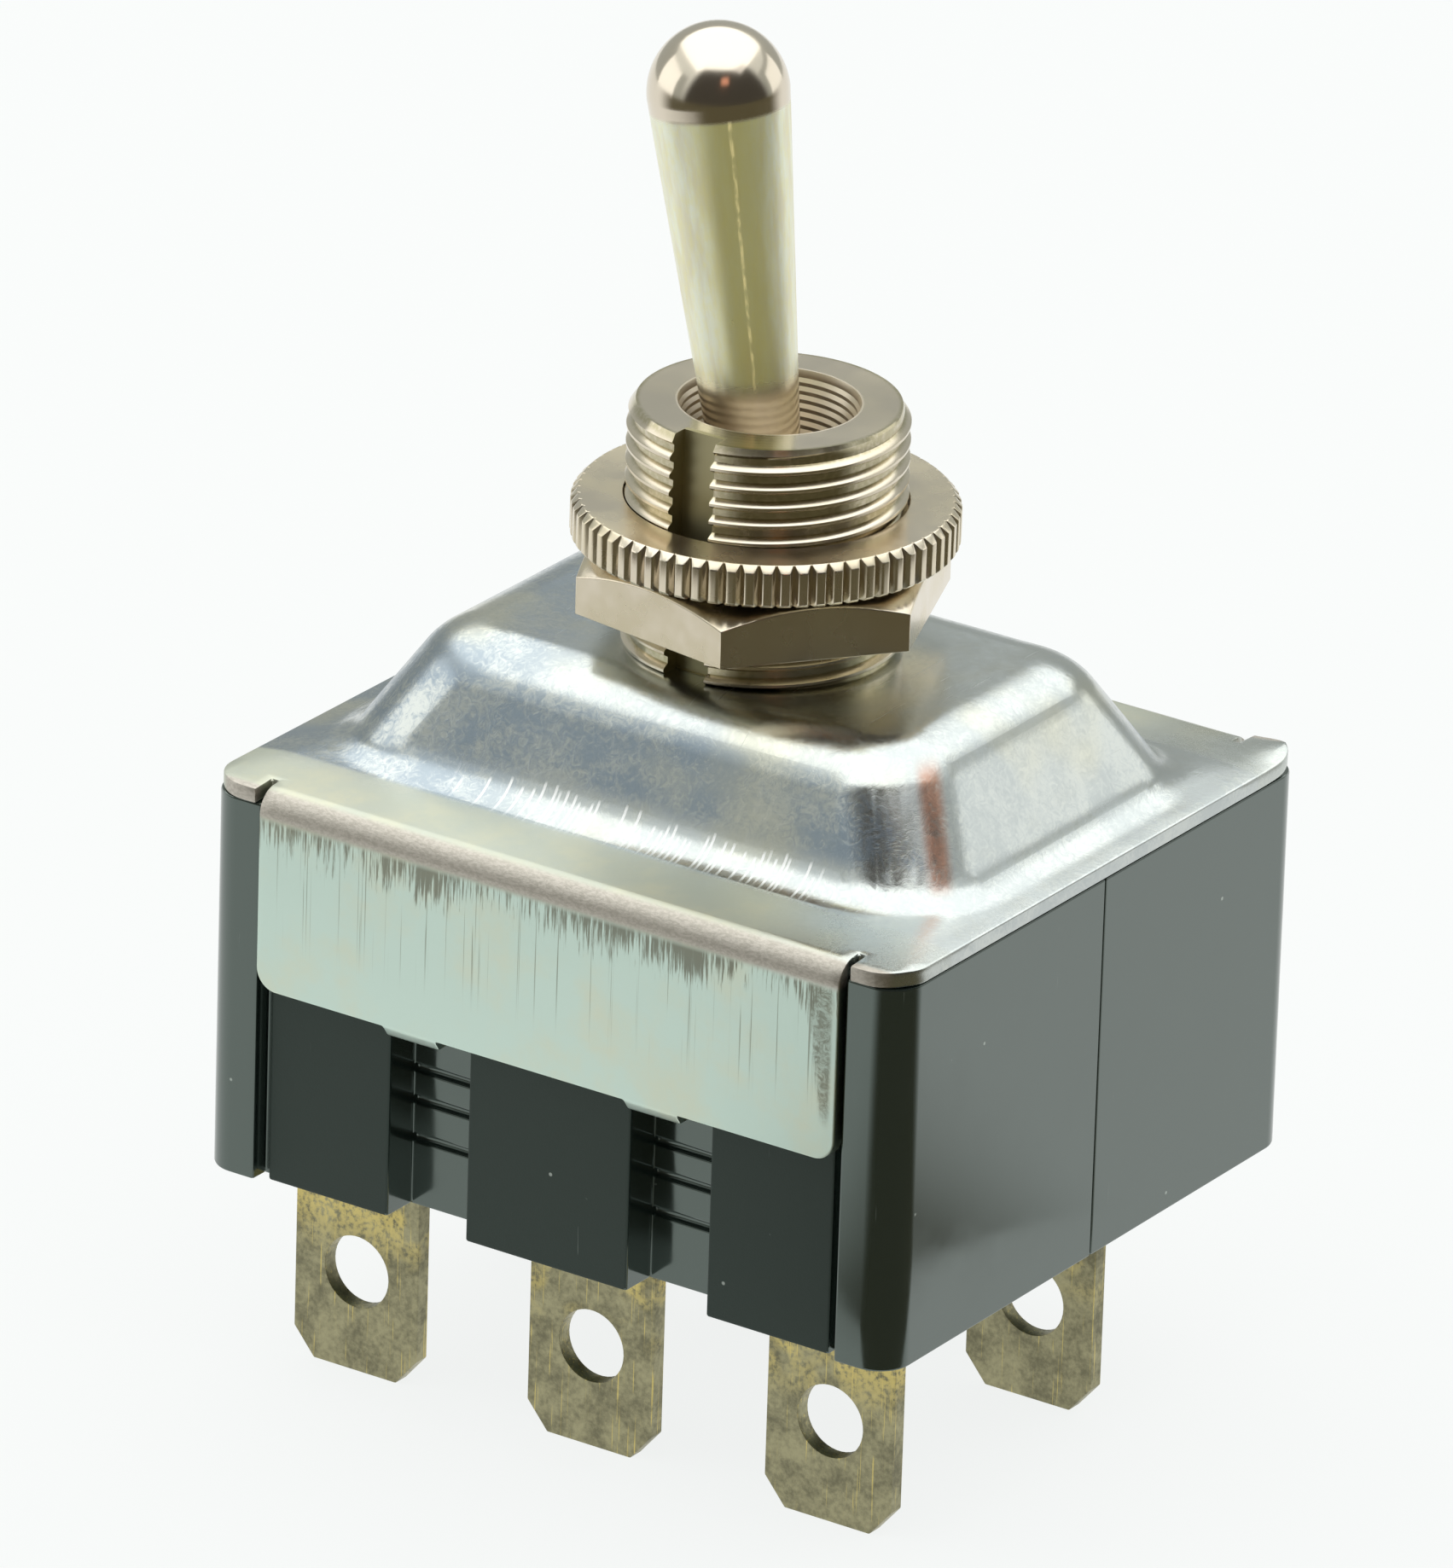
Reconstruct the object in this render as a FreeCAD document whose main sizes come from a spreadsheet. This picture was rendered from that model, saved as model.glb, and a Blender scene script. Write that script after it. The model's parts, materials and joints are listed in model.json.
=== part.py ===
import FreeCAD, Part
import os
import re

import Sketcher
from FreeCAD import Placement, Rotation, Vector

# Two-pole toggle switch with a nickel-plated bat lever, a drawn steel cover and two moulded pole modules.
# Millimetres. The origin lies under the bushing's axis, at the tips of the blades. +Z runs up the bushing.
# +X is the switch's right side, along each row of three blades, and -Y is its front, where the keyway is.

doc = FreeCAD.newDocument("ToggleSwitch")

# Driving dimensions
SIZES = {
    # blades, six quick-connect tabs
    "blade_reach": 9.6,
    "blade_width": 6.35,
    "blade_thick": 0.8,
    "blade_corner_side": 1.05,
    "blade_corner_rise": 1.25,
    "blade_hole_diameter": 3.27,
    "blade_hole_rise": 4.6,
    "blade_inset": 5.4,
    "foot_thick": 0.8,
    "foot_overlap": 2.0,
    "foot_gap": 0.25,
    # moulded pole modules
    "body_width": 35.0,
    "module_depth": 15.3,
    "body_height": 17.25,
    "body_corner_radius": 1.5,
    "column_width": 2.75,
    "column_groove_width": 0.5,
    "column_groove_depth": 0.5,
    "pad_setback": 0.4,
    "centre_pad_half": 4.1,
    "recess_width": 4.0,
    "recess_depth": 1.75,
    "recess_line_height": 0.35,
    "recess_line_depth": 0.3,
    "recess_line_low": 3.1,
    "recess_line_middle": 4.85,
    "recess_line_high": 6.3,
    "floor_thick": 2.4,
    "side_wall": 1.8,
    "recess_wall": 1.6,
    "seam_wall": 1.5,
    "cavity_radius": 1.0,
    "slot_clearance": 0.05,
    # drawn cover
    "sheet_thick": 0.7,
    "ear_radius": 1.9,
    "ear_overhang": 0.1,
    "plateau_rise": 5.65,
    "plateau_rim_side": 2.0,
    "plateau_rim_front": 4.7,
    "plateau_top_side": 12.3,
    "plateau_top_front": 7.8,
    "plateau_corner": 4.5,
    "plateau_top_round": 3.4,
    "plateau_foot_round": 2.0,
    "tab_inset": 2.9,
    "tab_drop": 8.95,
    "tab_corner_radius": 1.0,
    "tab_bend_radius": 0.3,
    "notch_width": 0.35,
    "notch_depth": 1.2,
    "tongue_width": 2.7,
    "tongue_drop": 0.5,
    "tongue_inset": 0.35,
    # threaded bushing
    "bushing_diameter": 11.9,
    "bushing_height": 10.7,
    "bushing_edge_side": 0.37,
    "bushing_edge_drop": 0.54,
    "mouth_radius": 3.9,
    "throat_radius": 2.75,
    "throat_rise": 2.5,
    "chamber_radius": 3.3,
    "chamber_rise": 1.8,
    "keyway_width": 2.0,
    "keyway_depth": 1.1,
    "spigot_radius": 5.0,
    "rim_radius": 5.7,
    "rim_thick": 0.7,
    # nuts
    "nut_clearance": 0.06,
    "hex_across_flats": 14.29,
    "hex_thick": 2.4,
    "hex_rise": 1.85,
    "hex_turn": 8.5,
    "hex_face_share": 0.975,
    "ring_diameter": 16.4,
    "ring_thick": 1.85,
    "ring_rise": 4.65,
    "ring_edge": 0.3,
    "knurl_teeth": 68,
    "knurl_depth": 0.36,
    "knurl_groove_share": 0.5,
    "knurl_overcut": 0.2,
    # bat lever and its pin
    "pivot_drop": 6.6,
    "lever_lean": 8.8,
    "lever_reach": 22.85,
    "lever_tip_radius": 3.0,
    "lever_neck_radius": 1.85,
    "lever_neck_rise": 3.4,
    "ball_radius": 3.0,
    "tail_radius": 1.5,
    "pin_radius": 0.75,
    "pin_length": 8.8,
    "pin_clearance": 0.04,
    # contact carrier on the lever's tail
    "carrier_thick": 2.7,
    "carrier_web_depth": 2.1,
    "carrier_width": 3.0,
    "carrier_hub_radius": 2.4,
    "carrier_wall_gap": 0.6,
    "tube_radius": 1.8,
    "tube_length": 5.6,
    "tube_cap": 0.6,
    # plungers and springs
    "plunger_radius": 1.1,
    "plunger_head_radius": 1.3,
    "plunger_clearance": 0.05,
    "plunger_head_length": 1.6,
    "plunger_stroke": 1.78,
    "plunger_grip": 2.0,
    "plunger_gap": 0.55,
    "spring_wire": 0.3,
    "spring_turns": 4.0,
    "spring_clearance": 0.1,
    # rocking contact arms
    "rocker_tilt": 5.0,
    "rocker_thick": 0.8,
    "rocker_end_radius": 1.15,
    "rocker_flat_half": 4.0,
    "rocker_bend_half": 5.2,
    "rocker_joggle": 0.6,
    "rocker_end_overlap": 1.9,
    "trunnion_radius": 0.5,
    "trunnion_overhang": 0.1,
    "ear_side_gap": 0.55,
    "ear_width": 4.8,
    "ear_above_pivot": 0.9,
    "ear_notch_gap": 0.1,
    # contact rivets
    "contact_radius": 1.6,
    "contact_thick": 0.8,
    "contact_shank_radius": 0.8,
    "contact_gap": 0.05,
}

sheet = doc.addObject("Spreadsheet::Sheet", "Sizes")
for row, (alias, value) in enumerate(SIZES.items(), 1):
    sheet.set("A%d" % row, alias)
    sheet.set("B%d" % row, str(value))
    sheet.setAlias("B%d" % row, alias)
doc.recompute()

# Levels and places that several pieces share, as expressions in the sheet's names
FLOOR_TOP = "(blade_reach + floor_thick)"
BODY_TOP = "(blade_reach + body_height)"
FLANGE_TOP = "(blade_reach + body_height + sheet_thick)"
PLATEAU_TOP = "(blade_reach + body_height + sheet_thick + plateau_rise)"
BUSHING_TOP = "(blade_reach + body_height + sheet_thick + plateau_rise + bushing_height)"
PIVOT = "(blade_reach + body_height + sheet_thick + plateau_rise + bushing_height - pivot_drop)"
BLADE_PITCH = "(body_width / 2 - blade_inset)"
TAB_HALF = "(body_width / 2 - tab_inset)"
PAD_FACE = "(module_depth - pad_setback)"
RECESS_FACE = "(module_depth - pad_setback - recess_depth)"
COLUMN_INNER = "(body_width / 2 - column_width)"
RECESS_OUTER = "(centre_pad_half + recess_width)"
CAVITY_OUTER = "(module_depth - pad_setback - recess_depth - recess_wall)"
FRONT_POLE = "(-module_depth / 2)"
REAR_POLE = "(module_depth / 2)"
POLE_OFFSET = "(%s - %s - foot_gap)" % (CAVITY_OUTER, REAR_POLE)
FRONT_ROW = "(%s - %s)" % (FRONT_POLE, POLE_OFFSET)
REAR_ROW = "(%s - %s)" % (REAR_POLE, POLE_OFFSET)
SADDLE_HALF = "(%s - blade_thick)" % POLE_OFFSET
ROCKER_HALF = "(%s - ear_side_gap)" % SADDLE_HALF
CONTACT_FACE = "(rocker_thick / 2 + rocker_joggle + contact_thick)"
ROCKER_PIVOT = (
    "(blade_reach + floor_thick + foot_thick + contact_thick + contact_gap"
    " + (%s + contact_radius) * sin(rocker_tilt * 1deg) + %s * cos(rocker_tilt * 1deg))"
) % (BLADE_PITCH, CONTACT_FACE)
PLUNGER_REACH = (
    "(((%s - %s) * cos(rocker_tilt * 1deg) - rocker_thick / 2 - plunger_head_radius - plunger_gap)"
    " / cos((rocker_tilt + lever_lean) * 1deg))"
) % (PIVOT, ROCKER_PIVOT)
TUBE_BOTTOM = "(%s - plunger_head_length - plunger_stroke)" % PLUNGER_REACH
TUBE_TOP = "(%s - tube_length)" % TUBE_BOTTOM
PLUNGER_TOP = "(%s - plunger_grip)" % TUBE_BOTTOM
CARRIER_BOTTOM = TUBE_TOP
CARRIER_TOP = "(%s - carrier_thick)" % CARRIER_BOTTOM
PLATEAU_FOOT_SIDE = "(body_width / 2 - plateau_rim_side)"
PLATEAU_FOOT_FRONT = "(module_depth - plateau_rim_front)"
SIDE_SLOPE = "((%s - plateau_top_side) / plateau_rise)" % PLATEAU_FOOT_SIDE
FRONT_SLOPE = "((%s - plateau_top_front) / plateau_rise)" % PLATEAU_FOOT_FRONT

# The round spring wire is drawn with this many flat sides
WIRE_SIDES = 8

# How close two lengths are to count as the same when edges are picked
SAME = 1e-4


def ref(expression):
    """The expression with every size's name pointed at the sheet."""
    def point(match):
        word = match.group(0)
        if word in SIZES:
            return "<<Sizes>>." + word
        return word
    return re.sub(r"[a-z][a-z_]+", point, expression)


def bind(target, **properties):
    """Ties properties to the sheet. A double underscore stands for a dot in a property's path."""
    for name, expression in properties.items():
        target.setExpression(name.replace("__", "."), ref(expression))


def part(kind, label, **properties):
    """A primitive solid with its properties tied to the sheet."""
    made = doc.addObject(kind, label)
    bind(made, **properties)
    return made


def new_body(label):
    return doc.addObject("PartDesign::Body", label)


def sketch_on(body, role, name, offset=None):
    """A sketch on one of the body's own origin planes, moved along the plane's normal."""
    sketch = body.newObject("Sketcher::SketchObject", name)
    plane = [item for item in body.Origin.OriginFeatures if item.Role == role][0]
    sketch.AttachmentSupport = (plane, "")
    sketch.MapMode = "FlatFace"
    if offset is not None:
        bind(sketch, AttachmentOffset__Base__z=offset)
    return sketch


def constrain(sketch, wanted):
    """Driving constraints, each given as kind, place and expression, whose values follow the sheet."""
    made = [Sketcher.Constraint(kind, *where, cell(expression)) for kind, where, expression in wanted]
    numbers = sketch.addConstraint(made)
    for number, (kind, where, expression) in zip(numbers, wanted):
        sketch.setExpression("Constraints[%d]" % number, ref(expression))


def corner_places(corners, ends):
    """The pair of distances that puts each corner, an end of a line or an arc, in its place."""
    wanted = []
    for (across, along), (geometry, end) in zip(corners, ends):
        wanted.append(("DistanceX", (-1, 1, geometry, end), across))
        wanted.append(("DistanceY", (-1, 1, geometry, end), along))
    return wanted


def outline(sketch, corners):
    """A closed run of straight lines through corners given as pairs of expressions."""
    first = sketch.GeometryCount
    count = len(corners)
    spots = [Vector(cell(across), cell(along), 0) for across, along in corners]
    lines = [Part.LineSegment(spots[n], spots[(n + 1) % count]) for n in range(count)]
    sketch.addGeometry(lines, False)
    for n in range(count):
        sketch.addConstraint(Sketcher.Constraint("Coincident", first + n, 2, first + (n + 1) % count, 1))
    constrain(sketch, corner_places(corners, [(first + n, 1) for n in range(count)]))


def rectangle(sketch, left, right, low, high):
    outline(sketch, [(left, low), (right, low), (right, high), (left, high)])


def circle(sketch, across, along, radius):
    centre = Vector(cell(across), cell(along), 0)
    number = sketch.addGeometry(Part.Circle(centre, Vector(0, 0, 1), cell(radius)), False)
    constrain(sketch, corner_places([(across, along)], [(number, 3)]) + [("Radius", (number,), radius)])


def extrude(body, kind, name, profile, length=None, reverse=False, middle=False, through=False):
    """A Pad or a Pocket of a sketch."""
    feature = body.newObject("PartDesign::" + kind, name)
    feature.Profile = profile
    feature.Reversed = reverse
    if middle:
        feature.SideType = "Symmetric"
    if through:
        feature.Type = "ThroughAll"
    else:
        bind(feature, Length=length)
    return feature


def turn(body, name, profile, axis="V_Axis"):
    """A full revolution of a sketch about one of its axes."""
    feature = body.newObject("PartDesign::Revolution", name)
    feature.Profile = profile
    feature.ReferenceAxis = (profile, [axis])
    feature.Angle = 360
    return feature


def dress(body, kind, name, base, edges, size):
    """A Fillet or a Chamfer on named edges of the last feature."""
    feature = body.newObject("PartDesign::" + kind, name)
    feature.Base = (base, edges)
    bind(feature, **{"Radius" if kind == "Fillet" else "Size": size})
    return feature


def edges_where(feature, test):
    """The names of a feature's edges whose ends and middle all pass a test."""
    names = []
    for number, edge in enumerate(feature.Shape.Edges, 1):
        first, last = edge.ParameterRange
        points = [edge.valueAt(first + share * (last - first)) for share in (0.0, 0.5, 1.0)]
        if all(test(point) for point in points):
            names.append("Edge%d" % number)
    return names


def near(value, wanted):
    return abs(value - wanted) < SAME


def cell(expression_or_alias):
    """The present value of a size or of an expression of sizes."""
    return float(sheet.evalExpression(ref(expression_or_alias)))


def both_sides(corners):
    """Corners on the +X side, then the same corners mirrored to the -X side in reverse order."""
    return corners + [("-(%s)" % across, along) for across, along in reversed(corners)]


# Drawn cover: flange with four ears, plateau, and a clamping tab bent down at the front and the rear

def plateau_wedge(body, name, low, high, inset):
    """A wedge with sloping sides between two levels, its walls moved inwards by an inset."""
    wedge = body.newObject("PartDesign::AdditiveWedge", name)
    wedge.Placement = Placement(Vector(0, 0, 0), Rotation(Vector(1, 0, 0), 90))
    bind(wedge, Ymin=low, Ymax=high)
    walls = (("X", "plateau_top_side", SIDE_SLOPE), ("Z", "plateau_top_front", FRONT_SLOPE))
    for letter, top_half, slope in walls:
        shrink = "%s * sqrt(1 + %s * %s)" % (inset, slope, slope)
        for prefix, level in ((letter, low), (letter + "2", high)):
            half = "(%s + (%s - %s) * %s - %s)" % (top_half, PLATEAU_TOP, level, slope, shrink)
            bind(wedge, **{prefix + "min": "-" + half, prefix + "max": half})
    return wedge


def soften_plateau(body, name, wedge, level_top, level_foot, corner, shoulder, foot):
    """Rounds a plateau's four sloping corners, then its shoulder and its foot."""
    doc.recompute()
    least_side = cell("plateau_top_side - 2 * sheet_thick")
    least_front = cell("plateau_top_front - 2 * sheet_thick")
    most_side = cell("body_width / 2 - plateau_rim_side / 2")
    most_front = cell("module_depth - plateau_rim_front / 2")
    top = cell(level_top)
    low = cell(level_foot)

    def on_plateau(p):
        return abs(p.x) < most_side and abs(p.y) < most_front

    def on_corner(p):
        return on_plateau(p) and abs(p.x) > least_side and abs(p.y) > least_front

    edges = edges_where(wedge, on_corner)
    rounded = dress(body, "Fillet", name + "_corners", wedge, edges, corner)
    doc.recompute()
    edges = edges_where(rounded, lambda p: near(p.z, top) and on_plateau(p))
    rounded = dress(body, "Fillet", name + "_shoulder", rounded, edges, shoulder)
    doc.recompute()
    edges = edges_where(rounded, lambda p: near(p.z, low) and on_plateau(p))
    rounded = dress(body, "Fillet", name + "_foot", rounded, edges, foot)
    doc.recompute()


def make_hollow():
    """The room under the plateau, one sheet smaller all round, flared where the sheet turns to the flange."""
    body = new_body("plateau_hollow")
    ceiling = "(%s - sheet_thick)" % PLATEAU_TOP
    half_side = "(body_width / 2 - plateau_rim_side / 4)"
    half_front = "(module_depth - plateau_rim_front / 2)"
    base = sketch_on(body, "XY_Plane", "hollow_base_outline", BODY_TOP)
    rectangle(base, "-" + half_side, half_side, "-" + half_front, half_front)
    extrude(body, "Pad", "hollow_base", base, "sheet_thick", reverse=True)
    wedge = plateau_wedge(body, "hollow_wedge", BODY_TOP, ceiling, "sheet_thick")
    soften_plateau(body, "hollow", wedge, ceiling, BODY_TOP, "plateau_corner - sheet_thick",
                   "plateau_top_round - sheet_thick", "plateau_foot_round + sheet_thick")
    return body


def make_cover():
    body = new_body("cover")
    flange = sketch_on(body, "XY_Plane", "flange_outline", BODY_TOP)
    half_side = "body_width / 2"
    half_front = "(module_depth + ear_overhang)"
    notch_outer = "(%s + notch_width)" % TAB_HALF
    notch_end = "(module_depth + ear_overhang - notch_depth)"
    right = [
        (notch_outer, "-" + notch_end),
        (notch_outer, "-" + half_front),
        (half_side, "-" + half_front),
        (half_side, half_front),
        (notch_outer, half_front),
        (notch_outer, notch_end),
    ]
    outline(flange, both_sides(right))
    extrude(body, "Pad", "flange", flange, "sheet_thick")

    tab_outer = "(%s + sheet_thick)" % PAD_FACE
    tab_bottom = "(%s - tab_drop)" % FLANGE_TOP
    for side, word in ((-1, "front"), (1, "rear")):
        profile = sketch_on(body, "YZ_Plane", word + "_tab_profile")
        run = [
            (notch_end, FLANGE_TOP),
            (tab_outer, FLANGE_TOP),
            (tab_outer, tab_bottom),
            (PAD_FACE, tab_bottom),
            (PAD_FACE, BODY_TOP),
            (notch_end, BODY_TOP),
        ]
        outline(profile, [("%d * %s" % (side, y), z) for y, z in run])
        extrude(body, "Pad", word + "_tab", profile, "2 * " + TAB_HALF, middle=True)
        for number, start in enumerate(("-%s" % RECESS_OUTER, "centre_pad_half")):
            bent = sketch_on(body, "YZ_Plane", "%s_tongue_profile_%d" % (word, number), start)
            low = "(%s - tongue_drop)" % tab_bottom
            run = [
                (tab_outer, tab_bottom),
                (PAD_FACE, tab_bottom),
                ("(%s - tongue_inset)" % PAD_FACE, low),
                ("(%s - tongue_inset)" % tab_outer, low),
            ]
            outline(bent, [("%d * %s" % (side, y), z) for y, z in run])
            extrude(body, "Pad", "%s_tongue_%d" % (word, number), bent, "tongue_width")

    plateau = plateau_wedge(body, "plateau", BODY_TOP, PLATEAU_TOP, "0")
    soften_plateau(body, "plateau", plateau, PLATEAU_TOP, FLANGE_TOP,
                   "plateau_corner", "plateau_top_round", "plateau_foot_round")
    hollow = body.newObject("PartDesign::Boolean", "hollow")
    hollow.Type = "Cut"
    hollow.setObjects([make_hollow()])

    seat = sketch_on(body, "XY_Plane", "bushing_seat_outline", BODY_TOP)
    circle(seat, "0", "0", "spigot_radius")
    seat = extrude(body, "Pocket", "bushing_seat", seat, reverse=True, through=True)
    doc.recompute()
    flat_y = cell(tab_outer)
    inner_y = cell(PAD_FACE)
    level = cell(FLANGE_TOP)
    edges = edges_where(seat, lambda p: near(abs(p.y), flat_y) and near(p.z, level))
    bend = dress(body, "Fillet", "bend_outside", seat, edges, "tab_bend_radius + sheet_thick")
    doc.recompute()
    low = cell(BODY_TOP)
    edges = edges_where(bend, lambda p: near(abs(p.y), inner_y) and near(p.z, low))
    bend = dress(body, "Fillet", "bend_inside", bend, edges, "tab_bend_radius")
    doc.recompute()
    tab_low = cell(tab_bottom)
    tab_side = cell(TAB_HALF)
    edges = edges_where(bend, lambda p: near(p.z, tab_low) and near(abs(p.x), tab_side))
    bend = dress(body, "Fillet", "tab_corners", bend, edges, "tab_corner_radius")
    doc.recompute()
    ear_x = cell("body_width / 2")
    ear_y = cell(half_front)
    edges = edges_where(bend, lambda p: near(abs(p.x), ear_x) and near(abs(p.y), ear_y))
    dress(body, "Fillet", "ears", bend, edges, "ear_radius")
    return body


# Moulded pole modules: corner columns, matte pads, two ribbed recesses, an open cavity and three blade slots

def make_module(label, side, row):
    """One module. side is -1 for the front one and 1 for the rear one, and row is its blades' front face."""
    def out(expression):
        return "%d * %s" % (side, expression)

    body = new_body(label)
    plan = sketch_on(body, "XY_Plane", label + "_plan", "blade_reach")
    groove_face = "(%s - column_groove_depth)" % PAD_FACE
    groove_inner = "(%s - column_groove_width)" % COLUMN_INNER
    right = [
        ("body_width / 2", "0"),
        ("body_width / 2", out("module_depth")),
        (COLUMN_INNER, out("module_depth")),
        (COLUMN_INNER, out(groove_face)),
        (groove_inner, out(groove_face)),
        (groove_inner, out(PAD_FACE)),
        (RECESS_OUTER, out(PAD_FACE)),
        (RECESS_OUTER, out(RECESS_FACE)),
        ("centre_pad_half", out(RECESS_FACE)),
        ("centre_pad_half", out(PAD_FACE)),
    ]
    outline(plan, both_sides(right))
    block = extrude(body, "Pad", label + "_block", plan, "body_height")
    doc.recompute()
    corner_x = cell("body_width / 2")
    corner_y = cell(out("module_depth"))
    edges = edges_where(block, lambda p: near(abs(p.x), corner_x) and near(p.y, corner_y))
    block = dress(body, "Fillet", label + "_corners", block, edges, "body_corner_radius")
    doc.recompute()

    lip = cell(BODY_TOP)
    pad_y = cell(out(PAD_FACE))
    edges = edges_where(block, lambda p: near(p.z, lip) and near(p.y, pad_y))
    block = dress(body, "Chamfer", label + "_pad_lips", block, edges, "tab_bend_radius + slot_clearance")
    doc.recompute()

    plan = sketch_on(body, "XY_Plane", label + "_cavity_plan", BODY_TOP)
    half = "(body_width / 2 - side_wall)"
    rectangle(plan, "-%s" % half, half, out("seam_wall"), out(CAVITY_OUTER))
    cavity = extrude(body, "Pocket", label + "_cavity", plan, "body_height - floor_thick")
    doc.recompute()
    wall_x = cell(half)
    floor = cell(FLOOR_TOP)
    edges = edges_where(cavity, lambda p: near(abs(p.x), wall_x) and floor - SAME < p.z)
    edges = [name for name in edges if abs(cavity.Shape.getElement(name).tangentAt(0).z) > 0.9]
    cavity = dress(body, "Fillet", label + "_cavity_corners", cavity, edges, "cavity_radius")

    plan = sketch_on(body, "XY_Plane", label + "_slot_plan", "blade_reach")
    for place in ("-" + BLADE_PITCH, "0", BLADE_PITCH):
        rectangle(plan, "%s - blade_width / 2 - slot_clearance" % place,
                  "%s + blade_width / 2 + slot_clearance" % place,
                  "%s - slot_clearance" % row, "%s + blade_thick + slot_clearance" % row)
    slots = extrude(body, "Pocket", label + "_slots", plan, "floor_thick", reverse=True)

    lines = sketch_on(body, "XZ_Plane", label + "_recess_lines", out("-%s" % RECESS_FACE))
    for inner, outer in (("centre_pad_half", RECESS_OUTER), ("-%s" % RECESS_OUTER, "-centre_pad_half")):
        for rise in ("recess_line_low", "recess_line_middle", "recess_line_high"):
            level = "(blade_reach + %s)" % rise
            rectangle(lines, inner, outer, "%s - recess_line_height / 2" % level,
                      "%s + recess_line_height / 2" % level)
    extrude(body, "Pocket", label + "_recess_grooves", lines, "recess_line_depth", reverse=side > 0)
    return body


# Blades: brass tabs with a foot on the cavity's floor, the centre ones with two notched ears for the rocker

def make_terminal(label, place, row, is_centre):
    body = new_body(label)
    face = sketch_on(body, "XZ_Plane", label + "_face")
    half = "blade_width / 2"
    shoulder = "(%s + foot_thick)" % FLOOR_TOP
    right = [
        ("(%s - blade_corner_side)" % half, "0"),
        (half, "blade_corner_rise"),
        (half, shoulder),
    ]
    if is_centre:
        right += ear_corners(shoulder)
    outline(face, both_sides(right))
    circle(face, "0", "blade_hole_rise", "blade_hole_diameter / 2")
    extrude(body, "Pad", label + "_blade", face, "blade_thick", reverse=True)

    plan = sketch_on(body, "XY_Plane", label + "_foot_plan", FLOOR_TOP)
    if is_centre:
        length = "(2 * %s)" % POLE_OFFSET
    else:
        length = "(%s + foot_overlap)" % POLE_OFFSET
    rectangle(plan, "-%s" % half, half, "0", length)
    if not is_centre:
        circle(plan, "0", POLE_OFFSET, "contact_shank_radius")
    extrude(body, "Pad", label + "_foot", plan, "foot_thick")
    if is_centre:
        face = sketch_on(body, "XZ_Plane", label + "_rear_ear_face", "-(%s - blade_thick)" % length)
        outline(face, both_sides([(half, FLOOR_TOP), (half, shoulder)] + ear_corners(shoulder)))
        extrude(body, "Pad", label + "_rear_ear", face, "blade_thick", reverse=True)
        face = sketch_on(body, "XZ_Plane", label + "_notch_face")
        circle(face, "0", ROCKER_PIVOT, "trunnion_radius + ear_notch_gap")
        extrude(body, "Pocket", label + "_notch_bottom", face, length)
    bind(body, Placement__Base__x=place, Placement__Base__y=row)
    return body


def ear_corners(shoulder):
    """The right half of an ear with an open notch, as wide as the rocker's trunnion and its gaps."""
    ear_top = "(%s + ear_above_pivot)" % ROCKER_PIVOT
    notch_half = "(trunnion_radius + ear_notch_gap)"
    return [
        ("ear_width / 2", shoulder),
        ("ear_width / 2", ear_top),
        (notch_half, ear_top),
        (notch_half, ROCKER_PIVOT),
    ]


# Contact rivets: a flat head and a shank through the foot or the rocker

def make_rivet(label, head_low, shank_low, shank_length):
    head = part("Part::Cylinder", label + "_head", Radius="contact_radius", Height="contact_thick",
                Placement__Base__z=head_low)
    shank = part("Part::Cylinder", label + "_shank", Radius="contact_shank_radius", Height=shank_length,
                 Placement__Base__z=shank_low)
    rivet = doc.addObject("Part::MultiFuse", label)
    rivet.Shapes = [head, shank]
    rivet.Refine = True
    return rivet


def make_fixed_contact(label, place, pole):
    rivet = make_rivet(label, "foot_thick", "0", "foot_thick")
    bind(rivet, Placement__Base__x=place, Placement__Base__y=pole, Placement__Base__z=FLOOR_TOP)
    return rivet


def make_moving_contact(label, hand, pole):
    """A rivet in the end of a rocker, head down. hand is -1 for the left end and 1 for the right one."""
    low = "(-%s)" % CONTACT_FACE
    rivet = make_rivet(label, low, "-rocker_thick / 2 - rocker_joggle", "rocker_thick")
    for piece in rivet.Shapes:
        bind(piece, Placement__Base__x="%d * %s" % (hand, BLADE_PITCH))
    tilt_rocker(rivet, pole)
    return rivet


# Rockers: joggled contact arms that see-saw on the centre blade's ears

def tilt_rocker(target, pole):
    """Puts a piece drawn about the rocker's pivot in its place, tilted down on the right."""
    target.Placement = Placement(Vector(0, 0, 0), Rotation(Vector(0, 1, 0), cell("rocker_tilt")))
    bind(target, Placement__Base__y=pole, Placement__Base__z=ROCKER_PIVOT,
         Placement__Rotation__Angle="rocker_tilt * 1deg")


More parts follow.
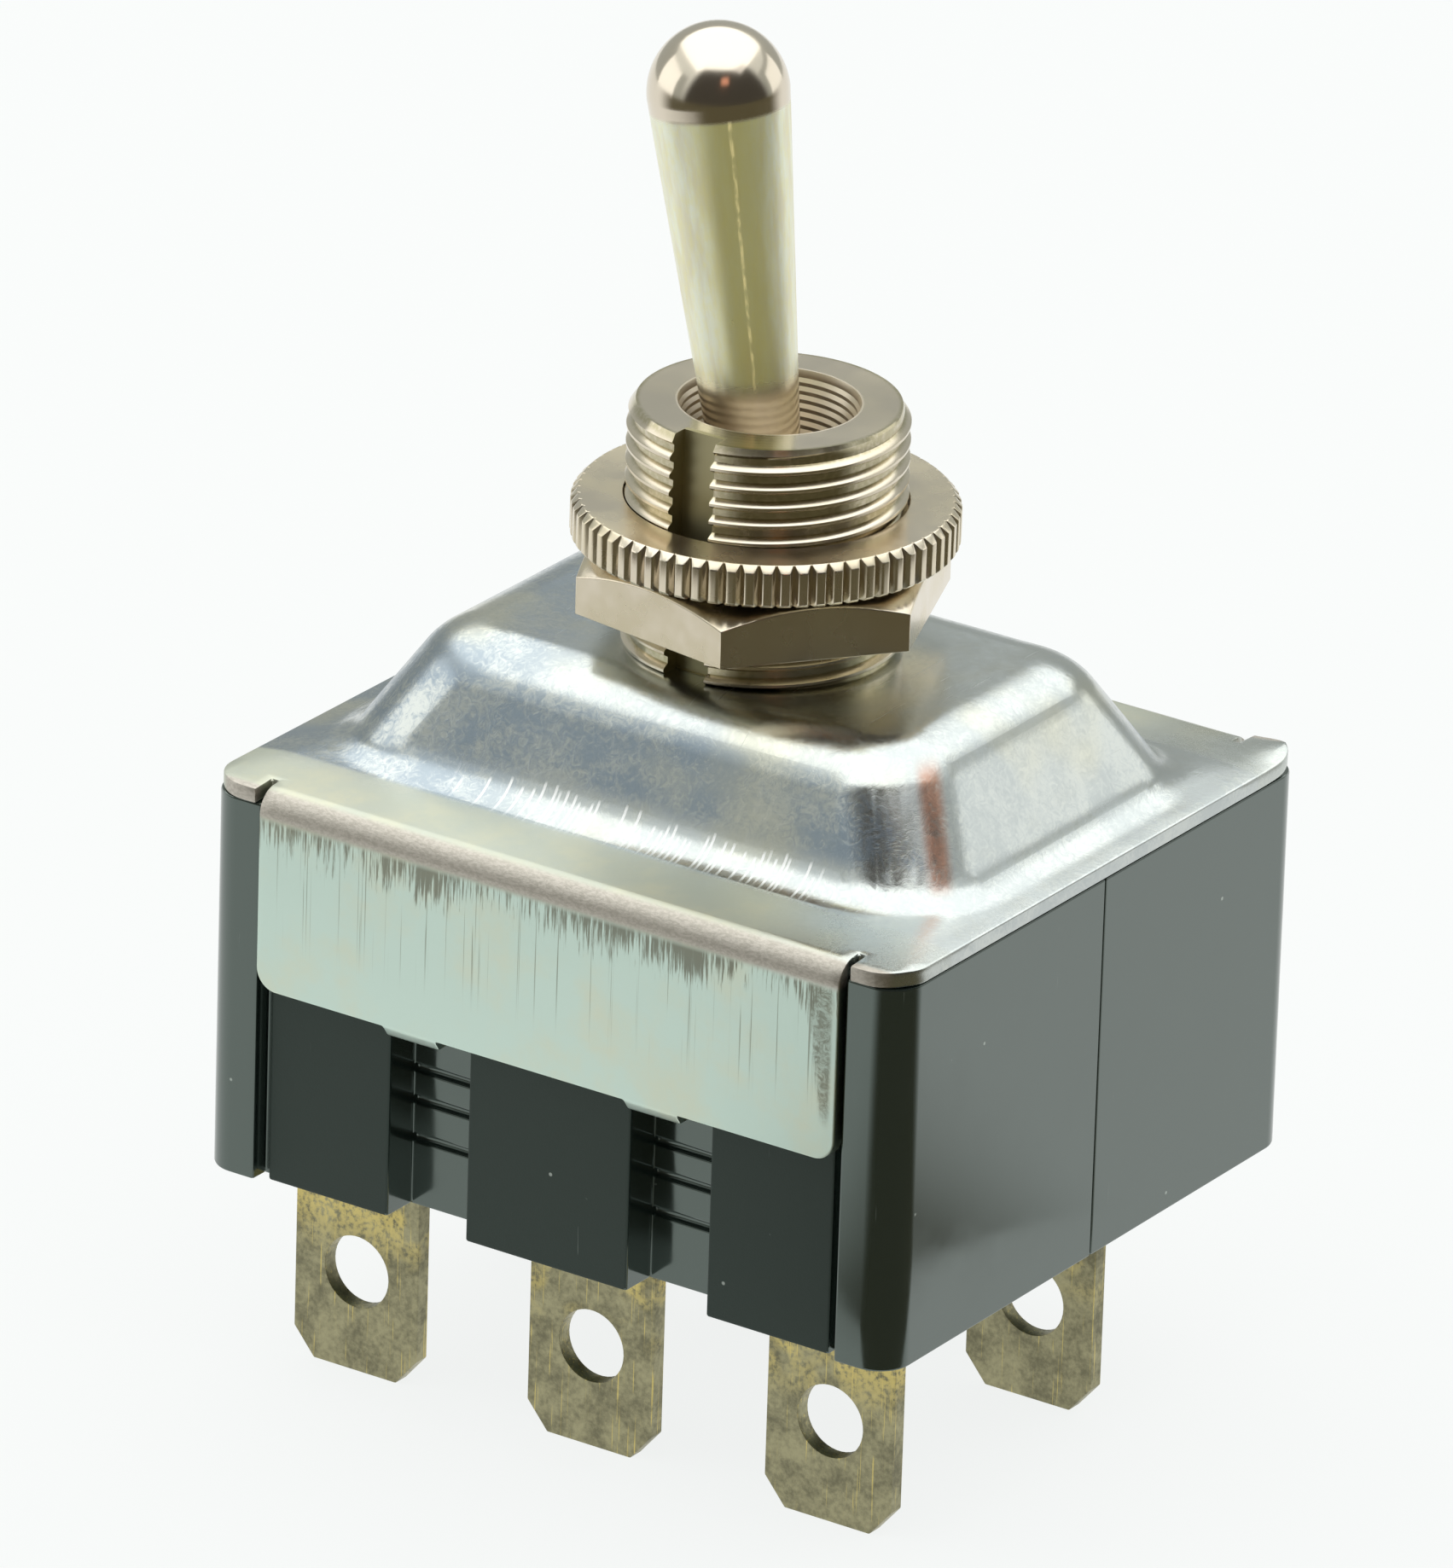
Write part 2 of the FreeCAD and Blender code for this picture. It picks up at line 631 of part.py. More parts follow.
def make_rocker(label, pole):
    body = new_body(label)
    half = "(rocker_thick / 2)"
    end = "(%s + rocker_end_overlap)" % BLADE_PITCH
    over = [
        ("rocker_flat_half", half),
        ("rocker_bend_half", "%s - rocker_joggle" % half),
        (end, "%s - rocker_joggle" % half),
    ]
    under = [
        (end, "-%s - rocker_joggle" % half),
        ("rocker_bend_half", "-%s - rocker_joggle" % half),
        ("rocker_flat_half", "-%s" % half),
    ]
    profile = sketch_on(body, "XZ_Plane", label + "_profile")
    outline(profile, both_sides(over + under))
    strip = extrude(body, "Pad", label + "_strip", profile, "2 * " + ROCKER_HALF, middle=True)
    doc.recompute()
    tip_x = cell(end)
    tip_y = cell(ROCKER_HALF)
    edges = edges_where(strip, lambda p: near(abs(p.x), tip_x) and near(abs(p.y), tip_y))
    dress(body, "Fillet", label + "_ends", strip, edges, "rocker_end_radius")

    for word, side in (("front", 1), ("rear", -1)):
        cheek = "%d * %s" % (side, ROCKER_HALF)
        face = sketch_on(body, "XZ_Plane", "%s_%s_trunnion_face" % (label, word), cheek)
        circle(face, "0", "0", "trunnion_radius")
        reach = "(%s + trunnion_overhang - %s)" % (POLE_OFFSET, ROCKER_HALF)
        extrude(body, "Pad", "%s_%s_trunnion" % (label, word), face, reach, reverse=side < 0)

    plan = sketch_on(body, "XY_Plane", label + "_rivet_plan", "-%s - rocker_joggle" % half)
    for hand in (-1, 1):
        circle(plan, "%d * %s" % (hand, BLADE_PITCH), "0", "contact_shank_radius")
    extrude(body, "Pocket", label + "_rivet_holes", plan, "rocker_thick", reverse=True)
    tilt_rocker(body, pole)
    return body


# Threaded bushing: turned, with a cone-shaped mouth, a ball chamber, pin slots, a keyway and a spun rim

def make_bushing():
    body = new_body("bushing")
    profile = sketch_on(body, "XZ_Plane", "bushing_profile")
    outer = "(bushing_diameter / 2)"
    rim_low = "(%s - sheet_thick - rim_thick)" % PLATEAU_TOP
    outline(profile, [
        ("mouth_radius", BUSHING_TOP),
        ("%s - bushing_edge_side" % outer, BUSHING_TOP),
        (outer, "%s - bushing_edge_drop" % BUSHING_TOP),
        (outer, PLATEAU_TOP),
        ("spigot_radius", PLATEAU_TOP),
        ("spigot_radius", "%s - sheet_thick" % PLATEAU_TOP),
        ("rim_radius", "%s - sheet_thick" % PLATEAU_TOP),
        ("rim_radius", rim_low),
        ("chamber_radius", rim_low),
        ("chamber_radius", "%s + chamber_rise" % PIVOT),
        ("throat_radius", "%s + throat_rise" % PIVOT),
    ])
    turn(body, "bushing_turned", profile)

    plan = sketch_on(body, "XY_Plane", "keyway_plan", PLATEAU_TOP)
    rectangle(plan, "-keyway_width / 2", "keyway_width / 2", "-2 * " + outer, "keyway_depth - " + outer)
    extrude(body, "Pocket", "keyway", plan, "bushing_height", reverse=True)

    plan = sketch_on(body, "XY_Plane", "pin_slot_plan", rim_low)
    slot_half = "(pin_radius + pin_clearance)"
    slot_end = "(pin_length / 2 + pin_clearance)"
    rectangle(plan, "-%s" % slot_half, slot_half, "-%s" % slot_end, slot_end)
    extrude(body, "Pocket", "pin_slot", plan, "%s - %s" % (PIVOT, rim_low), reverse=True)
    face = sketch_on(body, "XZ_Plane", "pin_slot_end_face")
    circle(face, "0", PIVOT, slot_half)
    extrude(body, "Pocket", "pin_slot_end", face, "2 * %s" % slot_end, middle=True)
    return body


# Nuts on the bushing: a hexagon one and a thin knurled one

def make_hex_nut():
    prism = part("Part::Prism", "hex_nut_prism", Circumradius="hex_across_flats / 2 / cos(30deg)",
                 Height="hex_thick")
    prism.Polygon = 6
    face = "(hex_across_flats / 2 * hex_face_share)"
    cone = part("Part::Cone", "hex_nut_crown", Radius2=face, Radius1=face + " + hex_thick / tan(30deg)",
                Height="hex_thick")
    crowned = doc.addObject("Part::Common", "hex_nut_crowned")
    crowned.Base = prism
    crowned.Tool = cone
    bore = part("Part::Cylinder", "hex_nut_bore", Radius="bushing_diameter / 2 + nut_clearance",
                Height="hex_thick")
    nut = doc.addObject("Part::Cut", "hex_nut")
    nut.Base = crowned
    nut.Tool = bore
    nut.Placement = Placement(Vector(0, 0, 0), Rotation(Vector(0, 0, -1), cell("hex_turn")))
    bind(nut, Placement__Base__z="%s + hex_rise" % PLATEAU_TOP, Placement__Rotation__Angle="hex_turn * 1deg")
    return nut


def make_ring_nut():
    body = new_body("knurled_ring_nut")
    profile = sketch_on(body, "XZ_Plane", "ring_profile")
    outer = "(ring_diameter / 2)"
    bore = "(bushing_diameter / 2 + nut_clearance)"
    outline(profile, [
        (bore, "0"),
        ("%s - ring_edge / 2" % outer, "0"),
        (outer, "ring_edge / 2"),
        (outer, "ring_thick - ring_edge"),
        ("%s - ring_edge" % outer, "ring_thick"),
        (bore, "ring_thick"),
    ])
    turn(body, "ring_turned", profile)
    plan = sketch_on(body, "XY_Plane", "knurl_plan", "0")
    reach = "(ring_diameter / 2 + knurl_overcut)"
    half = "(pi * ring_diameter / knurl_teeth / 2 * knurl_groove_share)"
    spread = "%s * (knurl_depth + knurl_overcut) / knurl_depth" % half
    outline(plan, [
        ("%s - knurl_depth" % outer, "0"),
        (reach, "-" + spread),
        (reach, spread),
    ])
    groove = extrude(body, "Pocket", "knurl_groove", plan, "ring_thick", reverse=True)
    doc.recompute()
    pattern = body.newObject("PartDesign::PolarPattern", "knurl")
    pattern.Originals = [groove]
    axis = [item for item in body.Origin.OriginFeatures if item.Role == "Z_Axis"][0]
    pattern.Axis = (axis, [""])
    pattern.Angle = 360
    bind(pattern, Occurrences="knurl_teeth")
    body.Tip = pattern
    bind(body, Placement__Base__z="%s + ring_rise" % PLATEAU_TOP)
    return body


# Bat lever, its pin, the contact carrier, the plungers and their springs

def lean(target):
    """Puts a piece drawn upright about the lever's pivot in its place, leaning to the left at the top."""
    target.Placement = Placement(Vector(0, 0, 0), Rotation(Vector(0, -1, 0), cell("lever_lean")))
    bind(target, Placement__Base__z=PIVOT, Placement__Rotation__Angle="lever_lean * 1deg")


def make_lever():
    body = new_body("bat_lever")
    profile = sketch_on(body, "XZ_Plane", "lever_profile")
    centre = "(lever_reach - lever_tip_radius)"
    ball_top = "sqrt(ball_radius * ball_radius - lever_neck_radius * lever_neck_radius)"
    ball_low = "sqrt(ball_radius * ball_radius - tail_radius * tail_radius)"
    lever_outline(profile, centre, ball_top, ball_low)
    turn(body, "lever_turned", profile)
    face = sketch_on(body, "XZ_Plane", "pin_hole_face")
    circle(face, "0", "0", "pin_radius")
    extrude(body, "Pocket", "pin_hole", face, "pin_length", middle=True)
    lean(body)
    return body


def lever_outline(sketch, centre, ball_top, ball_low):
    """Half the lever's section: tail, ball, neck, straight taper and round tip."""
    corners = [
        ("0", "-" + CARRIER_BOTTOM),
        ("tail_radius", "-" + CARRIER_BOTTOM),
        ("tail_radius", "-(%s)" % ball_low),
        ("lever_neck_radius", ball_top),
        ("lever_neck_radius", "lever_neck_rise"),
        ("lever_tip_radius", centre),
        ("0", "lever_reach"),
    ]
    spots = [Vector(cell(across), cell(along), 0) for across, along in corners]
    round_part = {2: ("0", "0", "ball_radius"), 5: ("0", centre, "lever_tip_radius")}
    for n, here in enumerate(spots):
        after = spots[(n + 1) % len(spots)]
        if n in round_part:
            across, along, radius = [cell(text) for text in round_part[n]]
            middle = (here + after) / 2 - Vector(across, along, 0)
            middle = Vector(across, along, 0) + middle.normalize() * radius
            sketch.addGeometry(Part.Arc(here, middle, after), False)
        else:
            sketch.addGeometry(Part.LineSegment(here, after), False)
    count = len(spots)
    joins = [Sketcher.Constraint("Coincident", n, 2, (n + 1) % count, 1) for n in range(count)]
    sketch.addConstraint(joins)
    places = corner_places(corners, [(n, 1) for n in range(count)])
    constrain(sketch, places + [("Radius", (n,), radius) for n, (_, _, radius) in round_part.items()])


def make_pin():
    pin = part("Part::Cylinder", "lever_pin", Radius="pin_radius", Height="pin_length")
    pin.Placement = Placement(Vector(0, 0, 0), Rotation(Vector(1, 0, 0), 90))
    bind(pin, Placement__Base__y="pin_length / 2", Placement__Base__z=PIVOT)
    return pin


def make_carrier():
    body = new_body("contact_carrier")
    face = sketch_on(body, "YZ_Plane", "carrier_face")
    shoulder = "(%s - tube_radius)" % REAR_POLE
    wall = "(seam_wall + carrier_wall_gap)"
    web_bottom = "-(%s + carrier_web_depth)" % CARRIER_BOTTOM
    outline(face, both_sides([
        (wall, "-" + CARRIER_BOTTOM),
        (wall, web_bottom),
        (REAR_POLE, web_bottom),
        (REAR_POLE, "-" + TUBE_TOP),
        (shoulder, "-" + CARRIER_TOP),
    ]))
    extrude(body, "Pad", "carrier_beam", face, "carrier_width", middle=True)
    plan = sketch_on(body, "XY_Plane", "carrier_hub_plan", "-" + CARRIER_BOTTOM)
    circle(plan, "0", "0", "carrier_hub_radius")
    extrude(body, "Pad", "carrier_hub", plan, "carrier_thick")
    plan = sketch_on(body, "XY_Plane", "carrier_tube_plan", "-" + TUBE_BOTTOM)
    for pole in (FRONT_POLE, REAR_POLE):
        circle(plan, "0", pole, "tube_radius")
    extrude(body, "Pad", "carrier_tubes", plan, "tube_length")
    plan = sketch_on(body, "XY_Plane", "carrier_bore_plan", "-" + TUBE_BOTTOM)
    for pole in (FRONT_POLE, REAR_POLE):
        circle(plan, "0", pole, "plunger_radius + plunger_clearance")
    extrude(body, "Pocket", "carrier_bores", plan, "tube_length - tube_cap", reverse=True)
    plan = sketch_on(body, "XY_Plane", "tail_hole_plan", "-" + CARRIER_BOTTOM)
    circle(plan, "0", "0", "tail_radius")
    extrude(body, "Pocket", "tail_hole", plan, "carrier_thick", reverse=True)
    lean(body)
    return body


def make_plunger(label, pole):
    body = new_body(label)
    profile = sketch_on(body, "XZ_Plane", label + "_profile")
    head = "(%s - plunger_head_length)" % PLUNGER_REACH
    outline(profile, [
        ("0", "-" + PLUNGER_TOP),
        ("plunger_radius", "-" + PLUNGER_TOP),
        ("plunger_radius", "-" + head),
        ("plunger_head_radius", "-" + head),
        ("plunger_head_radius", "-" + PLUNGER_REACH),
        ("0", "-" + PLUNGER_REACH),
    ])
    turn(body, label + "_turned", profile)
    doc.recompute()
    sphere = body.newObject("PartDesign::AdditiveSphere", label + "_tip")
    bind(sphere, Radius="plunger_head_radius", Placement__Base__z="-" + PLUNGER_REACH)
    lean_on_pole(body, pole)
    return body


def lean_on_pole(target, pole):
    lean(target)
    bind(target, Placement__Base__y=pole)


def make_spring(label, pole):
    body = new_body(label)
    wire = sketch_on(body, "XZ_Plane", label + "_wire")
    coil = "(plunger_radius - spring_clearance - spring_wire / 2)"
    low = "(spring_wire / 2 - %s)" % PLUNGER_TOP
    turns = ["%d * 360deg / %d" % (n, WIRE_SIDES) for n in range(WIRE_SIDES)]
    outline(wire, [("%s + spring_wire / 2 * cos(%s)" % (coil, turn_angle),
                    "%s + spring_wire / 2 * sin(%s)" % (low, turn_angle)) for turn_angle in turns])
    doc.recompute()
    helix = body.newObject("PartDesign::AdditiveHelix", label + "_coil")
    helix.Profile = wire
    helix.ReferenceAxis = (wire, ["V_Axis"])
    helix.Mode = 0
    length = "(%s - %s - tube_cap - spring_wire)" % (PLUNGER_TOP, TUBE_TOP)
    bind(helix, Height=length, Pitch="%s / spring_turns" % length)
    lean_on_pole(body, pole)
    return body


nodes = [make_cover(), make_bushing(), make_hex_nut(), make_ring_nut()]
nodes += [make_lever(), make_pin(), make_carrier()]
for pole_name, side, row, pole in (("front", -1, FRONT_ROW, FRONT_POLE), ("rear", 1, REAR_ROW, REAR_POLE)):
    nodes.append(make_module("%s_pole_module" % pole_name, side, row))
    nodes.append(make_rocker("%s_rocker" % pole_name, pole))
    nodes.append(make_plunger("%s_plunger" % pole_name, pole))
    nodes.append(make_spring("%s_plunger_spring" % pole_name, pole))
    nodes.append(make_terminal("%s_centre_blade" % pole_name, "0", row, True))
    for hand_name, hand in (("left", -1), ("right", 1)):
        place = "%d * %s" % (hand, BLADE_PITCH)
        tag = "%s_%s" % (pole_name, hand_name)
        nodes.append(make_terminal(tag + "_blade", place, row, False))
        nodes.append(make_fixed_contact(tag + "_fixed_contact", place, pole))
        nodes.append(make_moving_contact(tag + "_moving_contact", hand, pole))

doc.recompute()

for item in doc.Objects:
    if "Invalid" in item.State or "Error" in item.State:
        raise RuntimeError("%s did not compute: %s" % (item.Label, item.State))

os.makedirs("parts", exist_ok=True)
for node in nodes:
    shape = node.Shape
    if shape.isNull() or not shape.isValid() or len(shape.Solids) != 1:
        raise RuntimeError("%s is not one valid solid" % node.Label)
    shape.exportStep("parts/%s.step" % node.Label)
    box = shape.BoundBox
    print("%-28s %8.1f mm3  x %6.2f %6.2f  y %6.2f %6.2f  z %6.2f %6.2f" % (
        node.Label, shape.Volume, box.XMin, box.XMax, box.YMin, box.YMax, box.ZMin, box.ZMax))
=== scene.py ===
import json
import math

import bmesh
import bpy
from bpy.props import FloatProperty, FloatVectorProperty, IntProperty, PointerProperty
from mathutils import Matrix, Quaternion, Vector

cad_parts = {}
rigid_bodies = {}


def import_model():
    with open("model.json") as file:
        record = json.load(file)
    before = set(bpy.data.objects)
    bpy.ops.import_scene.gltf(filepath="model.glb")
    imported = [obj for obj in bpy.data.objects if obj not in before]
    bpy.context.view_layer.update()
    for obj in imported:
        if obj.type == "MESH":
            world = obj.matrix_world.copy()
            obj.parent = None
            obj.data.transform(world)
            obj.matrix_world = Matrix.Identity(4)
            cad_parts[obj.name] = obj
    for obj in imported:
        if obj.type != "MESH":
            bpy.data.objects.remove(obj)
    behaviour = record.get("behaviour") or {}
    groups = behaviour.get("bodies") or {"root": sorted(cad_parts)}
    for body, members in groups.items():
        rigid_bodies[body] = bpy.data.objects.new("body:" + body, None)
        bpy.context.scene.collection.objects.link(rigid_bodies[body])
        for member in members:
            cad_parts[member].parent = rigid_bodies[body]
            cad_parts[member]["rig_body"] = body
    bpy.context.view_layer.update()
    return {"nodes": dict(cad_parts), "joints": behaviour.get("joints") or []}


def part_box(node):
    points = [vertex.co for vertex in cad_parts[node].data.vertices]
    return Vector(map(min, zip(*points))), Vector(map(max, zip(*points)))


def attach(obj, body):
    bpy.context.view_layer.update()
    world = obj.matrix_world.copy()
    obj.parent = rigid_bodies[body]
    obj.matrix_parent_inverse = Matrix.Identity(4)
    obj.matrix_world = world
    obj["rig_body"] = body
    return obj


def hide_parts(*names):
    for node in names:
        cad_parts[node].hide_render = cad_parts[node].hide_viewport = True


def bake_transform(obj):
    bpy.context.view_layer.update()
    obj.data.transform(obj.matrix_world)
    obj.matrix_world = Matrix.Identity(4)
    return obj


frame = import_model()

bl_info = {
    "name": "Toggle switch dressing",
    "version": (1, 0, 0),
    "blender": (4, 5, 0),
    "location": "View3D > Sidebar > Switch",
    "description": "Turns, threads and finishes the pieces of a packed two-pole toggle switch",
    "category": "Object",
}

MM = 0.001

# The two poles, each with its side along Y, and the places of the blades in each
POLES = (("front", -1), ("rear", 1))
HANDS = ("left", "centre", "right")

# Mesh tolerances: points closer than WELD are one, faces closer than FLAT are one plane, and an edge bent by more
# than CREASE is sharp
WELD = 1e-7
FLAT = math.radians(0.5)
CREASE = math.radians(32)

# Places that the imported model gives
BUSHING_LOW, BUSHING_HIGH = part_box("bushing")
COVER_LOW, COVER_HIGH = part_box("cover")
BODY_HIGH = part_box("rear_pole_module")[1]
JOINTS = {joint["name"]: joint for joint in frame["joints"]}
LEVER_PIVOT = Vector(JOINTS["lever_toggle"]["pos_m"])
LEVER_LEAN = math.radians(JOINTS["lever_toggle"]["range_deg"][1] / 2)

# Places of the marks: the lever's gold line, as a turn from X, which also places the painted olive reflection beside
# it; a tab's sides, in from the body's; the strokes of the front foot, from one to the next; and the painted copper
# glint on the plateau's corner, which is where X and Y add up to this
GOLD_LINE_TURN = math.radians(-46)
TAB_INSET = 2.9 * MM
STROKE_PITCH = 0.32 * MM
COPPER_GLINT_CORNER = 6.4 * MM


def linear(hex_colour):
    """The linear colour of an sRGB hex value such as #c8c0b0."""
    def channel(place):
        value = int(hex_colour[place:place + 2], 16) / 255
        return value / 12.92 if value <= 0.04045 else ((value + 0.055) / 1.055) ** 2.4
    return tuple(channel(place) for place in (1, 3, 5))


def tint(name, hex_colour, description):
    return FloatVectorProperty(name=name, description=description, default=linear(hex_colour),
                               subtype="COLOR", size=3, min=0.0, max=1.0)


def length(name, millimetres, description):
    return FloatProperty(name=name, description=description, default=millimetres * MM,
                         unit="LENGTH", precision=5, min=0.0)


def angle(name, degrees, description):
    return FloatProperty(name=name, description=description, default=math.radians(degrees), subtype="ANGLE")


class SwitchSizes(bpy.types.PropertyGroup):
    """Sizes of what is turned, threaded or eased here."""
    thread_pitch: length("Thread pitch", 0.79375, "One turn of a 32 to the inch thread")
    thread_depth: length("Thread depth", 0.3, "From the crest to the root of the thread")
    edge_side: length("Top edge, inwards", 0.37, "How far the bushing's top edge is cut inwards")
    edge_drop: length("Top edge, down", 0.54, "How far the bushing's top edge is cut down")
    mouth_radius: length("Mouth radius", 3.9, "The cone-shaped mouth at the bushing's top")
    throat_radius: length("Throat radius", 2.75, "The narrowest place of the bushing's bore")
    throat_rise: length("Throat rise", 2.5, "From the lever's pivot up to the throat")
    chamber_radius: length("Chamber radius", 3.3, "The room for the lever's ball")
    chamber_rise: length("Chamber rise", 1.8, "From the lever's pivot up to the chamber's end")
    ridge_pitch: length("Tool ridge pitch", 0.32, "Between the ridges that the tool left in the mouth")
    ridge_height: length("Tool ridge height", 0.058, "Height of those ridges")
    keyway_width: length("Keyway width", 2.0, "Slot along the bushing's front")
    keyway_depth: length("Keyway depth", 1.1, "From the thread's crest to the slot's bottom")
    spigot_radius: length("Spigot radius", 5.0, "The neck through the cover")
    rim_radius: length("Rim radius", 5.7, "The spun rim under the cover")
    sheet_thick: length("Sheet thickness", 0.7, "The cover's steel")
    lever_reach: length("Lever reach", 22.85, "From the pivot to the lever's tip")
    tip_radius: length("Tip radius", 3.0, "The lever's round tip")
    neck_radius: length("Neck radius", 1.85, "The lever's narrowest place")
    neck_rise: length("Neck rise", 3.4, "From the pivot to the start of the taper")
    ball_radius: length("Ball radius", 3.0, "The lever's ball")
    tail_reach: length("Tail reach", 9.878, "From the pivot down to the tail's end")
    tail_radius: length("Tail radius", 1.5, "The lever's tail")
    pin_radius: length("Pin radius", 0.75, "The pin across the ball")
    metal_edge: length("Metal edge", 0.05, "Width of the eased edges of nuts and blades")
    sheet_edge: length("Sheet edge", 0.1, "Width of the eased edges of the cover")
    mould_edge: length("Moulded edge", 0.12, "Width of the eased edges of the modules")
    pad_step: length("Pad step", 0.4, "How far the matte pads lie under the bodies' front and rear")
    ear_side: length("Ear side", 3.2, "How far in from its corner an ear of the cover starts")
    ear_curl: length("Ear curl", 0.5, "How far the rear right ear of the cover is bent up")
    side_strip: length("Side strip", 2.0, "Width of the flange beside the plateau")
    front_strip: length("Front strip", 4.7, "Width of the flange before and behind the plateau")
    flange_dish: length("Flange dish", 0.28, "How far the flange rises from its edges to the plateau")
    spin_steps: IntProperty(name="Spin steps", description="Faces round a turned piece", default=128, min=24)


class SwitchFinishes(bpy.types.PropertyGroup):
    """Colours of the finishes."""
    nickel: tint("Nickel plate", "#ddd2c0", "Warm nickel over brass")
    nickel_bleed: tint("Nickel, thin", "#dccfa8", "Where the brass shows through the plating")
    nickel_satin: tint("Nickel, satin", "#eef0dc", "The duller plating of the lever's taper")
    # olive mottles on the taper, and also the painted reflection of the dim floor beside the gold line
    olive_mottle_and_reflection: tint("Nickel, olive", "#f0e894", "Olive mottles of the taper, and the painted dim reflection beside the gold line")
    # a painted dim reflection, laid in the keyway and the thread's roots
    dim_reflection_brass: tint("Keyway", "#b3ab88", "Painted dim reflection in the keyway and the thread's roots")
    gold_line: tint("Gold line", "#ffeaa6", "A fine bright run along the lever")
    zinc: tint("Zinc plate", "#c8ccc8", "Zinc where it is bright")
    zinc_blue: tint("Zinc, passivated", "#929faa", "Blue-grey clouds of the passivation")
    zinc_yellow: tint("Zinc, yellowed", "#d9d3b4", "Yellowed patches of the passivation")
    strip: tint("Flange strip", "#bfc3b5", "The dull strip of the flange along the front")
    bend: tint("Bend", "#c9c3b9", "Grained steel on the outside of the bend")
    # the tabs' mint tone is a painted reflection of the pale floor they mirror
    tab_mint_reflection: tint("Tab", "#c8dbd0", "The smooth clamping tabs")
    lifted: tint("Lifted plating", "#f9faf9", "Zinc lifted in flakes by the die")
    scrape: tint("Scrape", "#7a7564", "Bare, dirty steel where the press tool dragged")
    # the copper colour is a painted glint on the plateau's front right corner
    copper: tint("Copper", "#bd8464", "A painted copper glint at the plateau's front right corner")
    phenolic: tint("Phenolic", "#19201d", "Glossy moulded body")
    phenolic_matte: tint("Phenolic, matte", "#1e2622", "Spark-eroded matte pads")
    painted_green_sheen: tint("Green sheen, painted", "#e9fff3", "The greenish tint of the phenolic's shine")
    dust: tint("Dust", "#999e97", "Dust and scratches on the phenolic")
    brass: tint("Brass", "#a49f7e", "Cleaner brass of the blades")
    brass_gold: tint("Brass, bright", "#d2c078", "Brighter yellow patches of the blades")
    brass_dark: tint("Brass, tarnished", "#79765f", "Tarnish on the blades")


class SwitchStudio(bpy.types.PropertyGroup):
    """Camera and lights."""
    azimuth: angle("Azimuth", 33.322, "Camera's turn round the switch, from its front")
    elevation: angle("Elevation", 23.118, "Camera's height over the horizon")
    roll: angle("Roll", 1.833, "Camera's turn about its own line of sight")
    distance: length("Distance", 690, "From the aim to the camera")
    aim_height: length("Aim height", 25.43, "Height of the aim over the blades' tips")
    aim_right: length("Framing, right", 1.256, "How far right of centre the aim lies")
    aim_down: length("Framing, down", 1.002, "How far below centre the aim lies")
    lens: FloatProperty(name="Lens", description="Focal length over a 36 mm frame", default=376.2, unit="CAMERA")
    floor: tint("Floor", "#fafcfb", "Pale paper floor")
    surround: tint("Surround", "#eef2f0", "Light tent all round")
    surround_strength: FloatProperty(name="Surround strength", description="Brightness of the tent", default=0.5)
    dim_room: tint("Dim room", "#484540", "The room on the camera's side, mirrored by the metal")
    dim_floor: tint("Dim floor", "#5f5a46", "The floor on that side")
    grey_room: tint("Grey room", "#b4b8b4", "The room on the other side")
    warm_card: tint("Warm card", "#ffb79a", "A small warm card beside the camera")
    shadow_lift: FloatProperty(name="Shadow lift", description="Share of the floor that glows by itself",
                               default=0.88, min=0.0, max=1.0, subtype="FACTOR")


def direction(azimuth, elevation):
    """The way from the switch out to an azimuth, counted from its front to its right, and an elevation."""
    level = math.cos(elevation)
    return Vector((math.sin(azimuth) * level, -math.cos(azimuth) * level, math.sin(elevation)))


def sizes():
    return bpy.context.scene.switch_sizes


def finishes():
    return bpy.context.scene.switch_finishes


# Small tools for meshes

def profile_arc(across, along, radius, start, end, count):
    """Points of an arc in a turned profile, from one angle to another, in degrees from straight outwards."""
    turns = [math.radians(start + (end - start) * n / count) for n in range(count + 1)]
    return [(across + radius * math.cos(turn), along + radius * math.sin(turn)) for turn in turns]


def spin(bm, points, angle, steps, rise=0.0, use_merge=False):
    """Joins points by a line and spins it about Z, with a rise at each step."""
    edges = [bm.edges.new(pair) for pair in zip(points, points[1:])]
    bmesh.ops.spin(bm, geom=points + edges, cent=(0, 0, 0), axis=(0, 0, 1), dvec=(0, 0, rise),
                   angle=angle, steps=steps, use_merge=use_merge)


def turned(profile, steps):
    """A closed turned solid about Z from its half profile, given as radius and height."""
    bm = bmesh.new()
    points = [bm.verts.new((radius, 0, height)) for radius, height in profile]
    spin(bm, points, math.tau, steps, use_merge=True)
    bmesh.ops.remove_doubles(bm, verts=bm.verts, dist=WELD)
    bmesh.ops.recalc_face_normals(bm, faces=bm.faces)
    return bm


def box_solid(low, high):
    """A closed box between two corners, used to cut a slot."""
    bm = bmesh.new()
    bmesh.ops.create_cube(bm, size=1)
    bmesh.ops.scale(bm, vec=high - low, verts=bm.verts)
    bmesh.ops.translate(bm, vec=(low + high) / 2, verts=bm.verts)
    return bm


def welded_copy(node_name):
    """A CAD node's mesh with its loose triangles joined and each flat stretch made one face."""
    bm = bmesh.new()
    bm.from_mesh(frame["nodes"][node_name].data)
    bmesh.ops.remove_doubles(bm, verts=bm.verts, dist=WELD)
    bmesh.ops.dissolve_limit(bm, angle_limit=FLAT, verts=bm.verts, edges=bm.edges)
    return bm


def ease_edges(bm, width, least_angle=CREASE, segments=2):
    """Rounds every sharp edge a little, as a worn or deburred edge is."""
    sharp = [edge for edge in bm.edges if len(edge.link_faces) == 2 and edge.calc_face_angle(0) > least_angle]
    bmesh.ops.bevel(bm, geom=sharp, offset=width, offset_type="OFFSET", segments=segments, profile=0.5,
                    affect="EDGES", material=-1, clamp_overlap=False)


